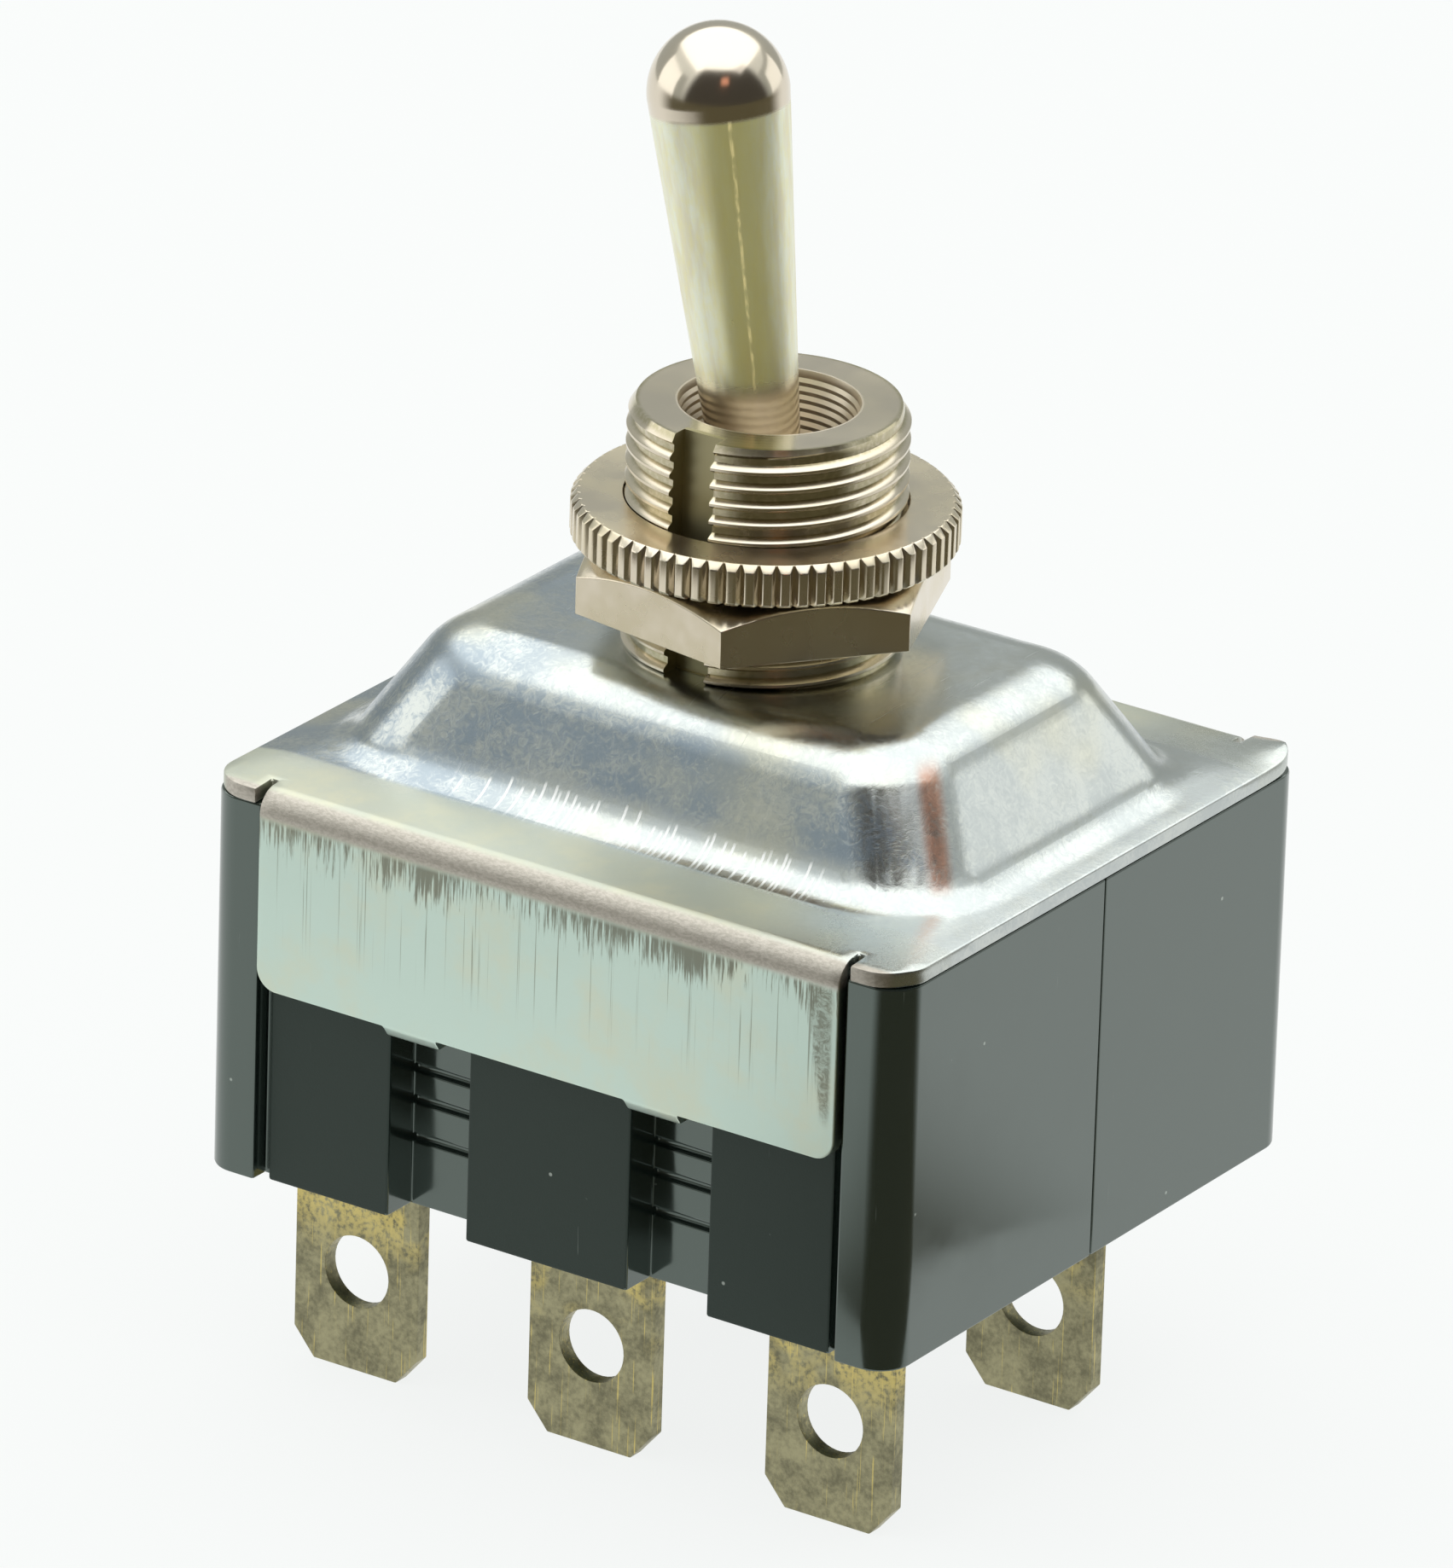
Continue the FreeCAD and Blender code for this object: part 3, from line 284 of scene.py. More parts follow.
def new_object(name, bm):
    """Makes a mesh an object of the scene, without the CAD mesh's own normals, which no longer fit."""
    mesh = bpy.data.meshes.new(name)
    bm.to_mesh(mesh)
    bm.free()
    if "custom_normal" in mesh.attributes:
        mesh.attributes.remove(mesh.attributes["custom_normal"])
    made = bpy.data.objects.new(name, mesh)
    bpy.context.scene.collection.objects.link(made)
    return made


def eased_piece(prefix, node_name, width):
    """A piece with a CAD node's shape and its sharp edges eased."""
    bm = welded_copy(node_name)
    ease_edges(bm, width)
    return new_object(prefix + node_name, bm)


def cut(target, tool_mesh, operation="DIFFERENCE"):
    """Cuts a closed mesh out of a piece, or joins it on, and makes the result the piece's own mesh."""
    tool = new_object("cutter", tool_mesh)
    step = target.modifiers.new("cut", "BOOLEAN")
    step.operation = operation
    step.solver = "EXACT"
    step.object = tool
    make_final(target)
    bpy.data.objects.remove(tool)


def make_final(piece):
    """Applies a piece's modifiers."""
    bpy.context.view_layer.update()
    graph = bpy.context.evaluated_depsgraph_get()
    mesh = bpy.data.meshes.new_from_object(piece.evaluated_get(graph), depsgraph=graph)
    piece.modifiers.clear()
    piece.data = mesh
    mesh.name = piece.name


def stand_in(piece, node_name, materials, stretch=None):
    """Finishes a piece that is shown in place of a CAD node, and hangs it on that node's body.

    A piece that stretches is left on no body, with its place baked into its mesh; the bodies and places given with it
    are not used."""
    mesh = piece.data
    for finish in materials:
        mesh.materials.append(finish)
    for face in mesh.polygons:
        face.use_smooth = True
    mesh.set_sharp_from_angle(angle=CREASE)
    weigh = piece.modifiers.new("weighted normals", "WEIGHTED_NORMAL")
    weigh.keep_sharp = True
    make_final(piece)
    if stretch:
        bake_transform(piece)
    else:
        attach(piece, frame["nodes"][node_name]["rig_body"])
    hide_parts(node_name)


# Small tools for materials

def node(tree, kind, inputs=None, out=0, **settings):
    """Adds a shader node with its settings, values and links, and returns one of its outputs."""
    made = tree.nodes.new("ShaderNode" + kind)
    for name, value in settings.items():
        setattr(made, name, value)
    for name, value in (inputs or {}).items():
        if isinstance(value, bpy.types.NodeSocket):
            tree.links.new(value, made.inputs[name])
        else:
            made.inputs[name].default_value = value
    return made.outputs[out]


def new_material(name, colour, metallic, roughness, **sockets):
    """A material and its shader, with what is the same all over set on the shader's own sockets."""
    made = bpy.data.materials.new(name)
    made.use_nodes = True
    tree = made.node_tree
    shader = tree.nodes["Principled BSDF"]
    values = {"Base Color": (*colour, 1), "Metallic": metallic, "Roughness": roughness}
    values.update({word.replace("_", " "): value for word, value in sockets.items()})
    for socket, value in values.items():
        shader.inputs[socket].default_value = value
    return made, tree, shader


def places(tree):
    """The place on the object, in metres, and its three parts."""
    spot = node(tree, "TexCoord", out="Object")
    split = tree.nodes.new("ShaderNodeSeparateXYZ")
    tree.links.new(spot, split.inputs[0])
    return spot, split.outputs[0], split.outputs[1], split.outputs[2]


def grain(tree, spot, lengths, detail=3.0, turn=(0, 0, 0), rough=0.55, distortion=0.0):
    """Noise whose grain has a real length in millimetres, one for all axes or its own for each."""
    if not isinstance(lengths, tuple):
        lengths = (lengths,) * 3
    scale = [1 / (size * MM) for size in lengths]
    scaled = node(tree, "Mapping", {"Vector": spot, "Rotation": turn, "Scale": scale}, vector_type="POINT")
    return node(tree, "TexNoise", {"Vector": scaled, "Scale": 1.0, "Detail": detail, "Roughness": rough,
                                   "Distortion": distortion})


def where(tree, *parts):
    """How much of a finish lies where, as the product of its parts.

    A part is a share, or the smooth step of a value: the value, where its foot and its top are, and how much
    it is at each if not nought and one."""
    product = None
    for part in parts:
        if isinstance(part, tuple):
            value, low, high, *ends = part
            bottom, top = ends or (0.0, 1.0)
            part = node(tree, "MapRange", {0: value, 1: low, 2: high, 3: bottom, 4: top},
                        interpolation_type="SMOOTHSTEP")
        product = part if product is None else node(tree, "Math", {0: product, 1: part}, operation="MULTIPLY")
    return product


def either(tree, share, *others):
    """The greatest of several shares."""
    for other in others:
        share = node(tree, "Math", {0: share, 1: other}, operation="MAXIMUM")
    return share


def total(tree, start, *terms):
    """A value with others added to it, each by its own weight."""
    for value, weight in terms:
        start = node(tree, "Math", {0: value, 1: weight, 2: start}, operation="MULTIPLY_ADD")
    return start


def apart(tree, value, middle):
    """How far a value lies from another, on either side."""
    return node(tree, "Math", {0: total(tree, value, (middle, -1.0))}, operation="ABSOLUTE")


def layered(tree, base, *covers):
    """Lays colours, or single values, over a base, each by its own share."""
    for share, cover in covers:
        if all(isinstance(layer, float) or getattr(layer, "type", None) == "VALUE" for layer in (base, cover)):
            base = node(tree, "Mix", {0: share, 2: base, 3: cover}, data_type="FLOAT")
        else:
            inputs = {0: share}
            for place, layer in ((6, base), (7, cover)):
                inputs[place] = layer if isinstance(layer, bpy.types.NodeSocket) else (*layer[:3], 1)
            base = node(tree, "Mix", inputs, out=2, data_type="RGBA")
    return base


def seen(tree):
    """One where a surface is looked at, straight or in a reflection, and nought where it lights another."""
    path = tree.nodes.new("ShaderNodeLightPath").outputs
    return either(tree, path["Is Camera Ray"], path["Is Transmission Ray"], path["Is Glossy Ray"])


def dress(tree, shader, height, depth, strength, **sockets):
    """Links what varies to a shader, with the relief of a height from 0 to 1 over a depth in millimetres."""
    sockets["Normal"] = node(tree, "Bump", {"Strength": strength, "Distance": depth * MM, "Height": height})
    for word, value in sockets.items():
        tree.links.new(value, shader.inputs[word.replace("_", " ")])


def let_glow(tree, share, under, colour):
    """Lets a share of a surface glow in a colour, over what it is otherwise."""
    glow = node(tree, "Emission", {"Color": (*colour, 1), "Strength": 1.0})
    surface = node(tree, "MixShader", {0: share, 1: under, 2: glow})
    tree.links.new(surface, tree.nodes["Material Output"].inputs["Surface"])


# Nickel-plated brass, turned: bright, with tool rings that spread its reflections across them, and thin
# places where the brass tints it

def nickel_plate(name, bleed, rough=0.17, slot=None):
    """With a slot (half its width, its bottom and the thread's root), the slot is duller, and the slot and the roots
    take a painted dim reflection in their colour.
    """
    look = finishes()
    made, tree, shader = new_material(name, look.nickel, 1.0, rough, Anisotropic=0.55, Anisotropic_Rotation=0.25)
    spot, across, along, up = places(tree)
    cloud = grain(tree, spot, 3)
    share = where(tree, (cloud, 0.35, 0.7, 0.15 * bleed, bleed))
    tone = layered(tree, look.nickel, (share, look.nickel_bleed))
    dull = where(tree, (cloud, 0.3, 0.7, 0.85 * rough, 1.4 * rough))
    if slot:
        half, bottom, root = slot
        fine = grain(tree, spot, 0.25, 4.0)
        level = node(tree, "VectorMath", {0: spot, 1: (1, 1, 0)}, operation="MULTIPLY")
        radius = node(tree, "VectorMath", {0: level}, out="Value", operation="LENGTH")
        # the thread's roots and the slot get a painted dim reflection in their tone
        in_root = where(tree, (radius, root + 0.2 * MM, root), (radius, root - 0.3 * MM, root - 0.1 * MM))
        tone = layered(tree, tone, (where(tree, in_root, (fine, 0.3, 0.6, 0.35, 0.8)), look.dim_reflection_brass))
        aside = node(tree, "Math", {0: across}, operation="ABSOLUTE")
        in_slot = where(tree, (aside, half + 0.03 * MM, half + 0.01 * MM),
                        (along, -bottom + 0.3 * MM, -bottom + 0.2 * MM))
        tone = layered(tree, tone, (in_slot, look.dim_reflection_brass))
        dull = layered(tree, dull, (in_slot, 0.42))
        # the mouth's ridges are torn a little by the tool
        in_mouth = where(tree, (radius, 4.0 * MM, 3.85 * MM), (up, LEVER_PIVOT.z, LEVER_PIVOT.z + MM))
        dull = layered(tree, dull, (in_mouth, 0.4))
    # rings from the lathe tool, drawn 0.3 mm apart so that they show, and pits of 0.3 mm; the wave texture
    # has 20 radians to its unit
    rings = node(tree, "TexWave", {"Vector": spot, "Scale": math.tau / 20 / (0.3 * MM), "Distortion": 0.4,
                                   "Detail": 1.0}, out="Fac", wave_type="RINGS", rings_direction="Z")
    pits = grain(tree, spot, 0.3, 2.0)
    dress(tree, shader, layered(tree, rings, (0.35, pits)), 0.004, 0.2, Base_Color=tone, Roughness=dull,
          Tangent=node(tree, "Tangent", direction_type="RADIAL", axis="Z"))
    return made


# The lever's nickel: polished at its round tip, duller and yellower down its taper, with one fine gold run and a
# painted olive reflection beside it

def lever_plate(name, tip_start):
    look = finishes()
    made, tree, shader = new_material(name, look.nickel, 1.0, 0.12, Anisotropic=0.6, Anisotropic_Rotation=0.25)
    spot, _, _, _ = places(tree)
    moved = node(tree, "VectorMath", {0: spot, 1: LEVER_PIVOT}, operation="SUBTRACT")
    own = node(tree, "VectorRotate", {"Vector": moved, "Angle": LEVER_LEAN}, rotation_type="Y_AXIS")
    parts = tree.nodes.new("ShaderNodeSeparateXYZ")
    tree.links.new(own, parts.inputs[0])
    across, along, up = parts.outputs
    on_taper = where(tree, (up, tip_start - 0.42 * MM, tip_start - 0.68 * MM), (up, 6.9 * MM, 8.0 * MM))
    cloud = grain(tree, own, (2.5, 2.5, 6))
    fine = grain(tree, own, (0.2, 0.2, 0.5), 4.0)
    streak = grain(tree, own, (0.6, 0.6, 4))
    satin = layered(tree, look.nickel_satin, (where(tree, (streak, 0.38, 0.66, 0.0, 0.5)), look.nickel_bleed),
                    (where(tree, (fine, 0.4, 0.7, 0.0, 0.3)), look.olive_mottle_and_reflection))
    turn = node(tree, "Math", {0: along, 1: across}, operation="ARCTAN2")
    off = apart(tree, total(tree, turn, (cloud, 0.05)), GOLD_LINE_TURN)
    # the olive band about the gold line's turn is a painted reflection of the dim floor
    olive = where(tree, on_taper, (off, 0.8, 0.15, 0.0, 0.75))
    gold = where(tree, (off, 0.04, 0.012), on_taper, (fine, 0.35, 0.6, 0.1, 0.8))
    tone = layered(tree, look.nickel, (on_taper, satin), (olive, look.olive_mottle_and_reflection), (gold, look.gold_line))
    dull = where(tree, (cloud, 0.3, 0.7, 0.27, 0.37))
    # shallow polishing streaks 0.6 mm wide, stretched along the taper
    dents = grain(tree, own, (0.6, 0.6, 2.4), 0.0)
    dress(tree, shader, where(tree, dents, on_taper), 0.018, 0.4, Base_Color=tone,
          Metallic=layered(tree, 1.0, (on_taper, 0.64), (gold, 0.1)),
          Roughness=layered(tree, 0.16, (on_taper, dull)),
          Tangent=node(tree, "Tangent", direction_type="RADIAL", axis="Z"))
    return made


# Zinc-plated, passivated drawn steel: cloudy blue-grey on the slopes, dull and grained where it was bent,
# smooth on the tabs, whose mint tone is a painted reflection of the pale floor, with the marks that the press tools
# left, and a painted copper glint on the plateau's corner

def zinc_plate(name):
    look = finishes()
    size = sizes()
    flange = BODY_HIGH.z + size.sheet_thick
    front = -COVER_LOW.y
    made, tree, shader = new_material(name, look.zinc, 1.0, 0.25)
    spot, across, along, up = places(tree)
    outward = node(tree, "Math", {0: along}, operation="ABSOLUTE")
    cloud = grain(tree, spot, 3.5, 4.0, rough=0.6)
    fibre = grain(tree, spot, 0.45, 7.0, rough=0.72, distortion=1.6)

    # the plateau: clouds of passivation, denser on its front and rear slopes
    mottle = layered(tree, cloud, (0.5, fibre))
    on_slope = where(tree, (outward, 8.0 * MM, 8.6 * MM), (up, flange + 1.2 * MM, flange + 2 * MM))
    amount = layered(tree, where(tree, (across, -2 * MM, -9 * MM, 0.25, 0.8)), (on_slope, 0.95))
    blue = where(tree, (mottle, 0.38, 0.57), amount)
    yellow = where(tree, (grain(tree, spot, 6, 2.0), 0.5, 0.75, 0.0, 0.4))

    # the plateau's front right corner: a painted copper glint in a band 1.5 mm wide, where the zinc mirrors the warm
    # card
    corner = apart(tree, total(tree, across, (along, 1.0)), COPPER_GLINT_CORNER)
    copper_glint = where(tree, (corner, 1.1 * MM, 0.25 * MM, 0.0, 0.75),
                   (along, -3.5 * MM, -4.5 * MM), (up, flange + 0.5 * MM, flange + 1.3 * MM),
                   (up, COVER_HIGH.z - 0.3 * MM, COVER_HIGH.z - 1.2 * MM), (mottle, 0.38, 0.56, 0.45, 1.0))

    # hair scratches at three slants, from noise 0.12 mm across them and 5 mm along them
    hairs = (grain(tree, spot, (0.12, 5, 5), 2.0, turn=(0, 0, slant), distortion=0.3)
             for slant in (0.5, -0.4, 1.9))
    hair = where(tree, (either(tree, *hairs), 0.74, 0.77, 0.0, 0.5))

    # short upright strokes along the front foot, one to a cell of 0.32 mm, where a die lifted the plating
    cell = node(tree, "Math", {0: across, 1: STROKE_PITCH}, operation="DIVIDE")
    number = node(tree, "Math", {0: cell}, operation="FLOOR")
    luck = node(tree, "TexWhiteNoise", {"W": number}, out="Value", noise_dimensions="1D")
    off = apart(tree, total(tree, cell, (number, -1.0)), total(tree, 0.15, (luck, 0.7)))
    again = node(tree, "TexWhiteNoise", {"W": total(tree, 0.37, (number, 1.0))}, out="Value",
                 noise_dimensions="1D")
    above = total(tree, up, (again, -0.7 * MM))
    stroke = where(tree, (off, 0.24, 0.12), (above, flange + 0.8 * MM, flange + 0.55 * MM), (luck, 0.2, 0.3),
                   (up, flange + 0.15 * MM, flange + 0.5 * MM), (across, -8.5 * MM, -7 * MM),
                   (across, 10.5 * MM, 9.5 * MM), (along, -9.0 * MM, -9.3 * MM))

    # the dull strip along the front and rear of the flange
    on_strip = where(tree, (up, flange + 0.35 * MM, flange + 0.12 * MM),
                     (outward, front - 4.1 * MM, front - 3.7 * MM), (across, 14 * MM, 8 * MM, 0.2, 1.0))
    stain = layered(tree, look.strip, (where(tree, (cloud, 0.4, 0.7, 0.0, 0.4)), look.zinc_yellow))
    stained = where(tree, on_strip, (fibre, 0.2, 0.5, 0.7, 1.0))

    # the grained outside of the bends
    bend_low = BODY_HIGH.z - 0.35 * MM
    outermost = where(tree, (outward, front - 0.75 * MM, front - 0.45 * MM))
    on_bend = where(tree, outermost, (up, bend_low - 0.2 * MM, bend_low + 0.1 * MM))
    speckle = grain(tree, spot, (0.22, 0.12, 0.12), 4.0, rough=0.7)
    grained = layered(tree, look.bend, (where(tree, (speckle, 0.4, 0.6), 0.25), look.scrape))

    # the smooth tabs, tinted mint as a painted reflection of the pale floor they mirror
    on_tab = where(tree, outermost, (up, bend_low, bend_low - 0.3 * MM))
    mint_reflection = layered(tree, look.tab_mint_reflection, (where(tree, (cloud, 0.4, 0.75, 0.0, 0.45)), look.zinc_yellow))

    # marks dragged down the tabs: a dirty fringe under the bend that breaks into lines 0.09 mm wide
    down = total(tree, bend_low + 0.25 * MM, (up, -1.0))
    patch = grain(tree, spot, (2.2, 60, 60))
    streak = grain(tree, spot, (0.09, 60, 1.6), 4.0, rough=0.6)
    fade = where(tree, (down, 0.0, 4.6 * MM, 0.0, 0.62))
    fringe = total(tree, streak, (patch, 0.75), (fade, -1.0))
    hairline = grain(tree, spot, (0.08, 60, 14), 1.0)
    hairline = where(tree, (hairline, 0.66, 0.72, 0.0, 0.7), (down, 6.5 * MM, 3.0 * MM))
    # a worn patch at the right edge of the front tab
    edge = BODY_HIGH.x - TAB_INSET
    slant = total(tree, across, (down, -0.16), (streak, 0.9 * MM))
    wedge = where(tree, (slant, edge - 1.45 * MM, edge - 1.05 * MM), (across, edge - 0.2 * MM, edge - 0.45 * MM),
                  (down, 6.8 * MM, 5.8 * MM), (fibre, 0.35, 0.6, 0.3, 0.9))
    worn = where(tree, either(tree, where(tree, (fringe, 0.74, 0.92)), hairline, wedge), on_tab, 0.75)

    # all of them laid over the zinc, and a relief of the sheet's slow waves, the plating's fibres and the bend's grain
    tone = layered(tree, look.zinc, (blue, look.zinc_blue), (yellow, look.zinc_yellow), (copper_glint, look.copper),
                   (stroke, look.lifted), (stained, stain), (on_bend, grained), (on_tab, mint_reflection), (worn, look.scrape))
    dull = layered(tree, where(tree, (mottle, 0.4, 0.6, 0.17, 0.27)), (hair, 0.5), (stroke, 0.6), (on_strip, 0.43),
                   (on_bend, 0.5), (on_tab, 0.33), (worn, 0.55))
    wave = grain(tree, spot, 5, 1.0)
    relief = layered(tree, wave, (0.12, fibre), (where(tree, on_bend, 0.4), speckle))
    dress(tree, shader, relief, 0.09, 0.5, Base_Color=tone, Roughness=dull)
    return made


# Black phenolic: polished mould surfaces with a painted green tint in their reflections, and spark-eroded matte pads

def phenolic(name, matte):
    look = finishes()
    if matte:
        colour, rough = look.phenolic_matte, 0.5
        extra = {"Specular_IOR_Level": 0.35}
    else:
        colour, rough = look.phenolic, 0.13
        extra = {"Specular_IOR_Level": 0.95, "Coat_Weight": 0.4, "Coat_Roughness": 0.12}
    # the specular tint is a painted green sheen over all of the phenolic's reflections
    made, tree, shader = new_material(name, colour, 0.0, rough, IOR=1.63, Specular_Tint=(*look.painted_green_sheen, 1), **extra)
    spot, _, _, _ = places(tree)
    dust = node(tree, "TexVoronoi", {"Vector": spot, "Scale": 1 / (1.8 * MM)}, out="Distance")
    choice = grain(tree, spot, 3, 1.0)
    speck = where(tree, (dust, 0.06, 0.03), (choice, 0.53, 0.57))
    scratch = grain(tree, spot, (0.12, 0.12, 5), 2.0, turn=(0.9, 0.3, 0), distortion=0.6)
    marks = either(tree, speck, where(tree, (scratch, 0.76, 0.79), 0.25))
    tone = layered(tree, colour, (marks, look.dust))
    if matte:
        grit = grain(tree, spot, 0.08)
        dress(tree, shader, grit, 0.012, 0.6, Base_Color=tone)
    else:
        wipe = grain(tree, spot, 2.5, 4.0)
        sink = grain(tree, spot, 6, 1.0)
        dress(tree, shader, sink, 0.03, 0.3, Base_Color=tone, Roughness=where(tree, (wipe, 0.3, 0.8, 0.09, 0.2)))
    return made


# Tarnished brass: olive-brown patches over yellow metal, with gold places and fine bright scratches

def blade_brass(name):
    look = finishes()
    made, tree, shader = new_material(name, look.brass, 1.0, 0.42)
    spot, _, _, up = places(tree)
    patch = grain(tree, spot, 1.6, 5.0, rough=0.62)
    fine = grain(tree, spot, 0.25, 5.0, rough=0.65)
    mottle = layered(tree, patch, (0.4, fine))
    # brighter gold patches on the blades' upper part, near the body
    gold = grain(tree, spot, 2.6, 2.0)
    gold = where(tree, (gold, 0.42, 0.56), (up, 4.5 * MM, 8.5 * MM), (fine, 0.35, 0.55))
    # bright scratches at three slants, from noise 0.1 mm across them and 5 mm along them
    lines = (grain(tree, spot, (0.1, 0.1, 5), 1.0, turn=(0, slant, 0)) for slant in (0.6, -0.9, 1.3))
    lines = where(tree, (either(tree, *lines), 0.68, 0.72), (patch, 0.35, 0.55, 0.2, 0.9))
    tone = layered(tree, look.brass_dark, (where(tree, (mottle, 0.34, 0.64)), look.brass),
                   (gold, look.brass_gold), (lines, look.brass_gold))
    dress(tree, shader, mottle, 0.02, 0.45, Base_Color=tone,
          Roughness=where(tree, (mottle, 0.35, 0.65, 0.5, 0.34)))
    return made


# Hidden pieces of the mechanism

def mechanism_finish(name, hex_colour, metallic, roughness, coarseness, depth):
    """A finish with a little variation and relief, at one grain size and depth in millimetres."""
    colour = linear(hex_colour)
    made, tree, shader = new_material(name, colour, metallic, roughness)
    spot, _, _, _ = places(tree)
    cloud = grain(tree, spot, coarseness)
    darker = tuple(0.7 * part for part in colour)
    dress(tree, shader, cloud, depth, 0.4,
          Base_Color=layered(tree, darker, (where(tree, (cloud, 0.35, 0.65)), colour)),
          Roughness=where(tree, (cloud, 0.3, 0.7, 0.8 * roughness, 1.2 * roughness)))
    return made


# What the buttons do

def placed(name, data, place, turn):
    """A lamp or camera of the scene, at a place and turned by a quaternion."""
    made = bpy.data.objects.new(name, data)
    made.location = place
    made.rotation_mode = "QUATERNION"
    made.rotation_quaternion = turn
    bpy.context.scene.collection.objects.link(made)
    return made


class SWITCH_OT_lever(bpy.types.Operator):
    """Turns the bat lever: tail, ball, neck, long taper and round tip"""
    bl_idname = "switch.lever"
    bl_label = "Bat lever"

    def execute(self, context):
        size = sizes()
        tail_low = -size.tail_reach
        ball_low = -math.degrees(math.acos(size.tail_radius / size.ball_radius))
        ball_high = math.degrees(math.acos(size.neck_radius / size.ball_radius))
        tip_centre = size.lever_reach - size.tip_radius
        profile = [(0, tail_low), (size.tail_radius, tail_low)]
        profile += profile_arc(0, 0, size.ball_radius, ball_low, ball_high, 24)
        profile += [(size.neck_radius, size.neck_rise)]
        profile += profile_arc(0, tip_centre, size.tip_radius, 0, 90, 24)[:-1] + [(0, size.lever_reach)]
        lever = new_object("turned_bat_lever", turned(profile, size.spin_steps))
        hole = bmesh.new()
        bmesh.ops.create_cone(hole, cap_ends=True, segments=48, radius1=size.pin_radius, radius2=size.pin_radius,
                              depth=4 * size.ball_radius)
        bmesh.ops.rotate(hole, cent=(0, 0, 0), matrix=Matrix.Rotation(math.pi / 2, 3, "X"), verts=hole.verts)
        cut(lever, hole)
        lever.data.transform(Matrix.Translation(LEVER_PIVOT) @ Matrix.Rotation(-LEVER_LEAN, 4, "Y"))
        finish = lever_plate("nickel_plated_polished_lever", tip_centre)
        stand_in(lever, "bat_lever", [finish])
        return {"FINISHED"}


class SWITCH_OT_bushing(bpy.types.Operator):
    """Turns and threads the bushing, bores its mouth and cuts the keyway"""
    bl_idname = "switch.bushing"
    bl_label = "Threaded bushing"

    def execute(self, context):
        size = sizes()
        outer = BUSHING_HIGH.x
        foot = COVER_HIGH.z
        top = BUSHING_HIGH.z
        bushing = new_object("threaded_bushing", self.threaded_barrel(size, outer, foot, top))
        under = foot - size.sheet_thick
        low = BUSHING_LOW.z
        inside = foot + 0.2 * MM  # the neck reaches into the barrel, so that the two join
        neck = [(0, inside), (size.spigot_radius, inside), (size.spigot_radius, under),
                (size.rim_radius, under), (size.rim_radius, low), (0, low)]
        cut(bushing, turned(neck, size.spin_steps), "UNION")
        cut(bushing, turned(self.bore(size, top, low), size.spin_steps))
        half = size.keyway_width / 2
        slot = box_solid(Vector((-half, -2 * outer, foot)), Vector((half, size.keyway_depth - outer, top + MM)))
        cut(bushing, slot)
        clearance = 0.04 * MM
        slot_half = size.pin_radius + clearance
        slot_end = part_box("lever_pin")[1].y + clearance
        slot = box_solid(Vector((-slot_half, -slot_end, low - MM)), Vector((slot_half, slot_end, LEVER_PIVOT.z)))
        cut(bushing, slot)
        finish = nickel_plate("nickel_plated_threaded_brass", 0.25,
                              slot=(half, outer - size.keyway_depth, outer - size.thread_depth))
        stand_in(bushing, "bushing", [finish])
        return {"FINISHED"}

    def threaded_barrel(self, size, outer, foot, top):
        """A solid threaded rod between two levels, with a cone-shaped edge at its top."""
        root = outer - size.thread_depth
        crest = outer - 0.15 * size.thread_depth
        shape = ((0.0, root), (0.14, root), (0.33, crest), (0.39, outer), (0.53, outer), (0.59, crest),
                 (0.78, root), (1.0, root))
        bm = bmesh.new()
        start = foot - size.thread_pitch
        points = [bm.verts.new((radius, 0, start + share * size.thread_pitch)) for share, radius in shape]
        turns = math.ceil((top - start) / size.thread_pitch) + 1
        spin(bm, points, math.tau * turns, size.spin_steps * turns, size.thread_pitch / size.spin_steps)
        # one turn's end meets the next one's start, but for rounding
        bmesh.ops.remove_doubles(bm, verts=bm.verts, dist=10 * WELD)
        edge_start = top - size.edge_drop
        for vert in bm.verts:
            radius = math.hypot(vert.co.x, vert.co.y)
            limit = outer - max(0, vert.co.z - edge_start) * size.edge_side / size.edge_drop
            if radius > limit:
                vert.co.x *= limit / radius
                vert.co.y *= limit / radius
        for level, side in ((foot, {"clear_inner": True}), (top, {"clear_outer": True})):
            parts = bm.verts[:] + bm.edges[:] + bm.faces[:]
            bmesh.ops.bisect_plane(bm, geom=parts, plane_co=(0, 0, level), plane_no=(0, 0, 1), **side)
        rims = [edge for edge in bm.edges if edge.is_boundary]
        bmesh.ops.holes_fill(bm, edges=rims, sides=0)
        bmesh.ops.recalc_face_normals(bm, faces=bm.faces)
        return bm

    def bore(self, size, top, low):
        """The bore's profile: a mouth with tool ridges, the throat and the ball's chamber."""
        throat = LEVER_PIVOT.z + size.throat_rise
        past = 0.5 * MM
        ridges = int((top - throat) / size.ridge_pitch)
        slope = (size.mouth_radius - size.throat_radius) / (top - throat)
        profile = [(0, top + past), (size.mouth_radius + slope * past, top + past)]
        for n in range(1, 2 * ridges):
            height = top - n * (top - throat) / (2 * ridges)
            radius = size.throat_radius + slope * (height - throat) - (n % 2) * size.ridge_height
            profile.append((radius, height))
        profile += [(size.throat_radius, throat), (size.chamber_radius, LEVER_PIVOT.z + size.chamber_rise),
                    (size.chamber_radius, low - past), (0, low - past)]
        return profile


class SWITCH_OT_nuts(bpy.types.Operator):
    """Eases the edges of the hexagon nut and the knurled ring nut"""
    bl_idname = "switch.nuts"
    bl_label = "Nuts"

    def execute(self, context):
        size = sizes()
        finish = nickel_plate("nickel_plated_milled_brass", 0.45, 0.22)
        for node_name in ("hex_nut", "knurled_ring_nut"):
            nut = eased_piece("plated_", node_name, size.metal_edge)
            stand_in(nut, node_name, [finish])
        return {"FINISHED"}


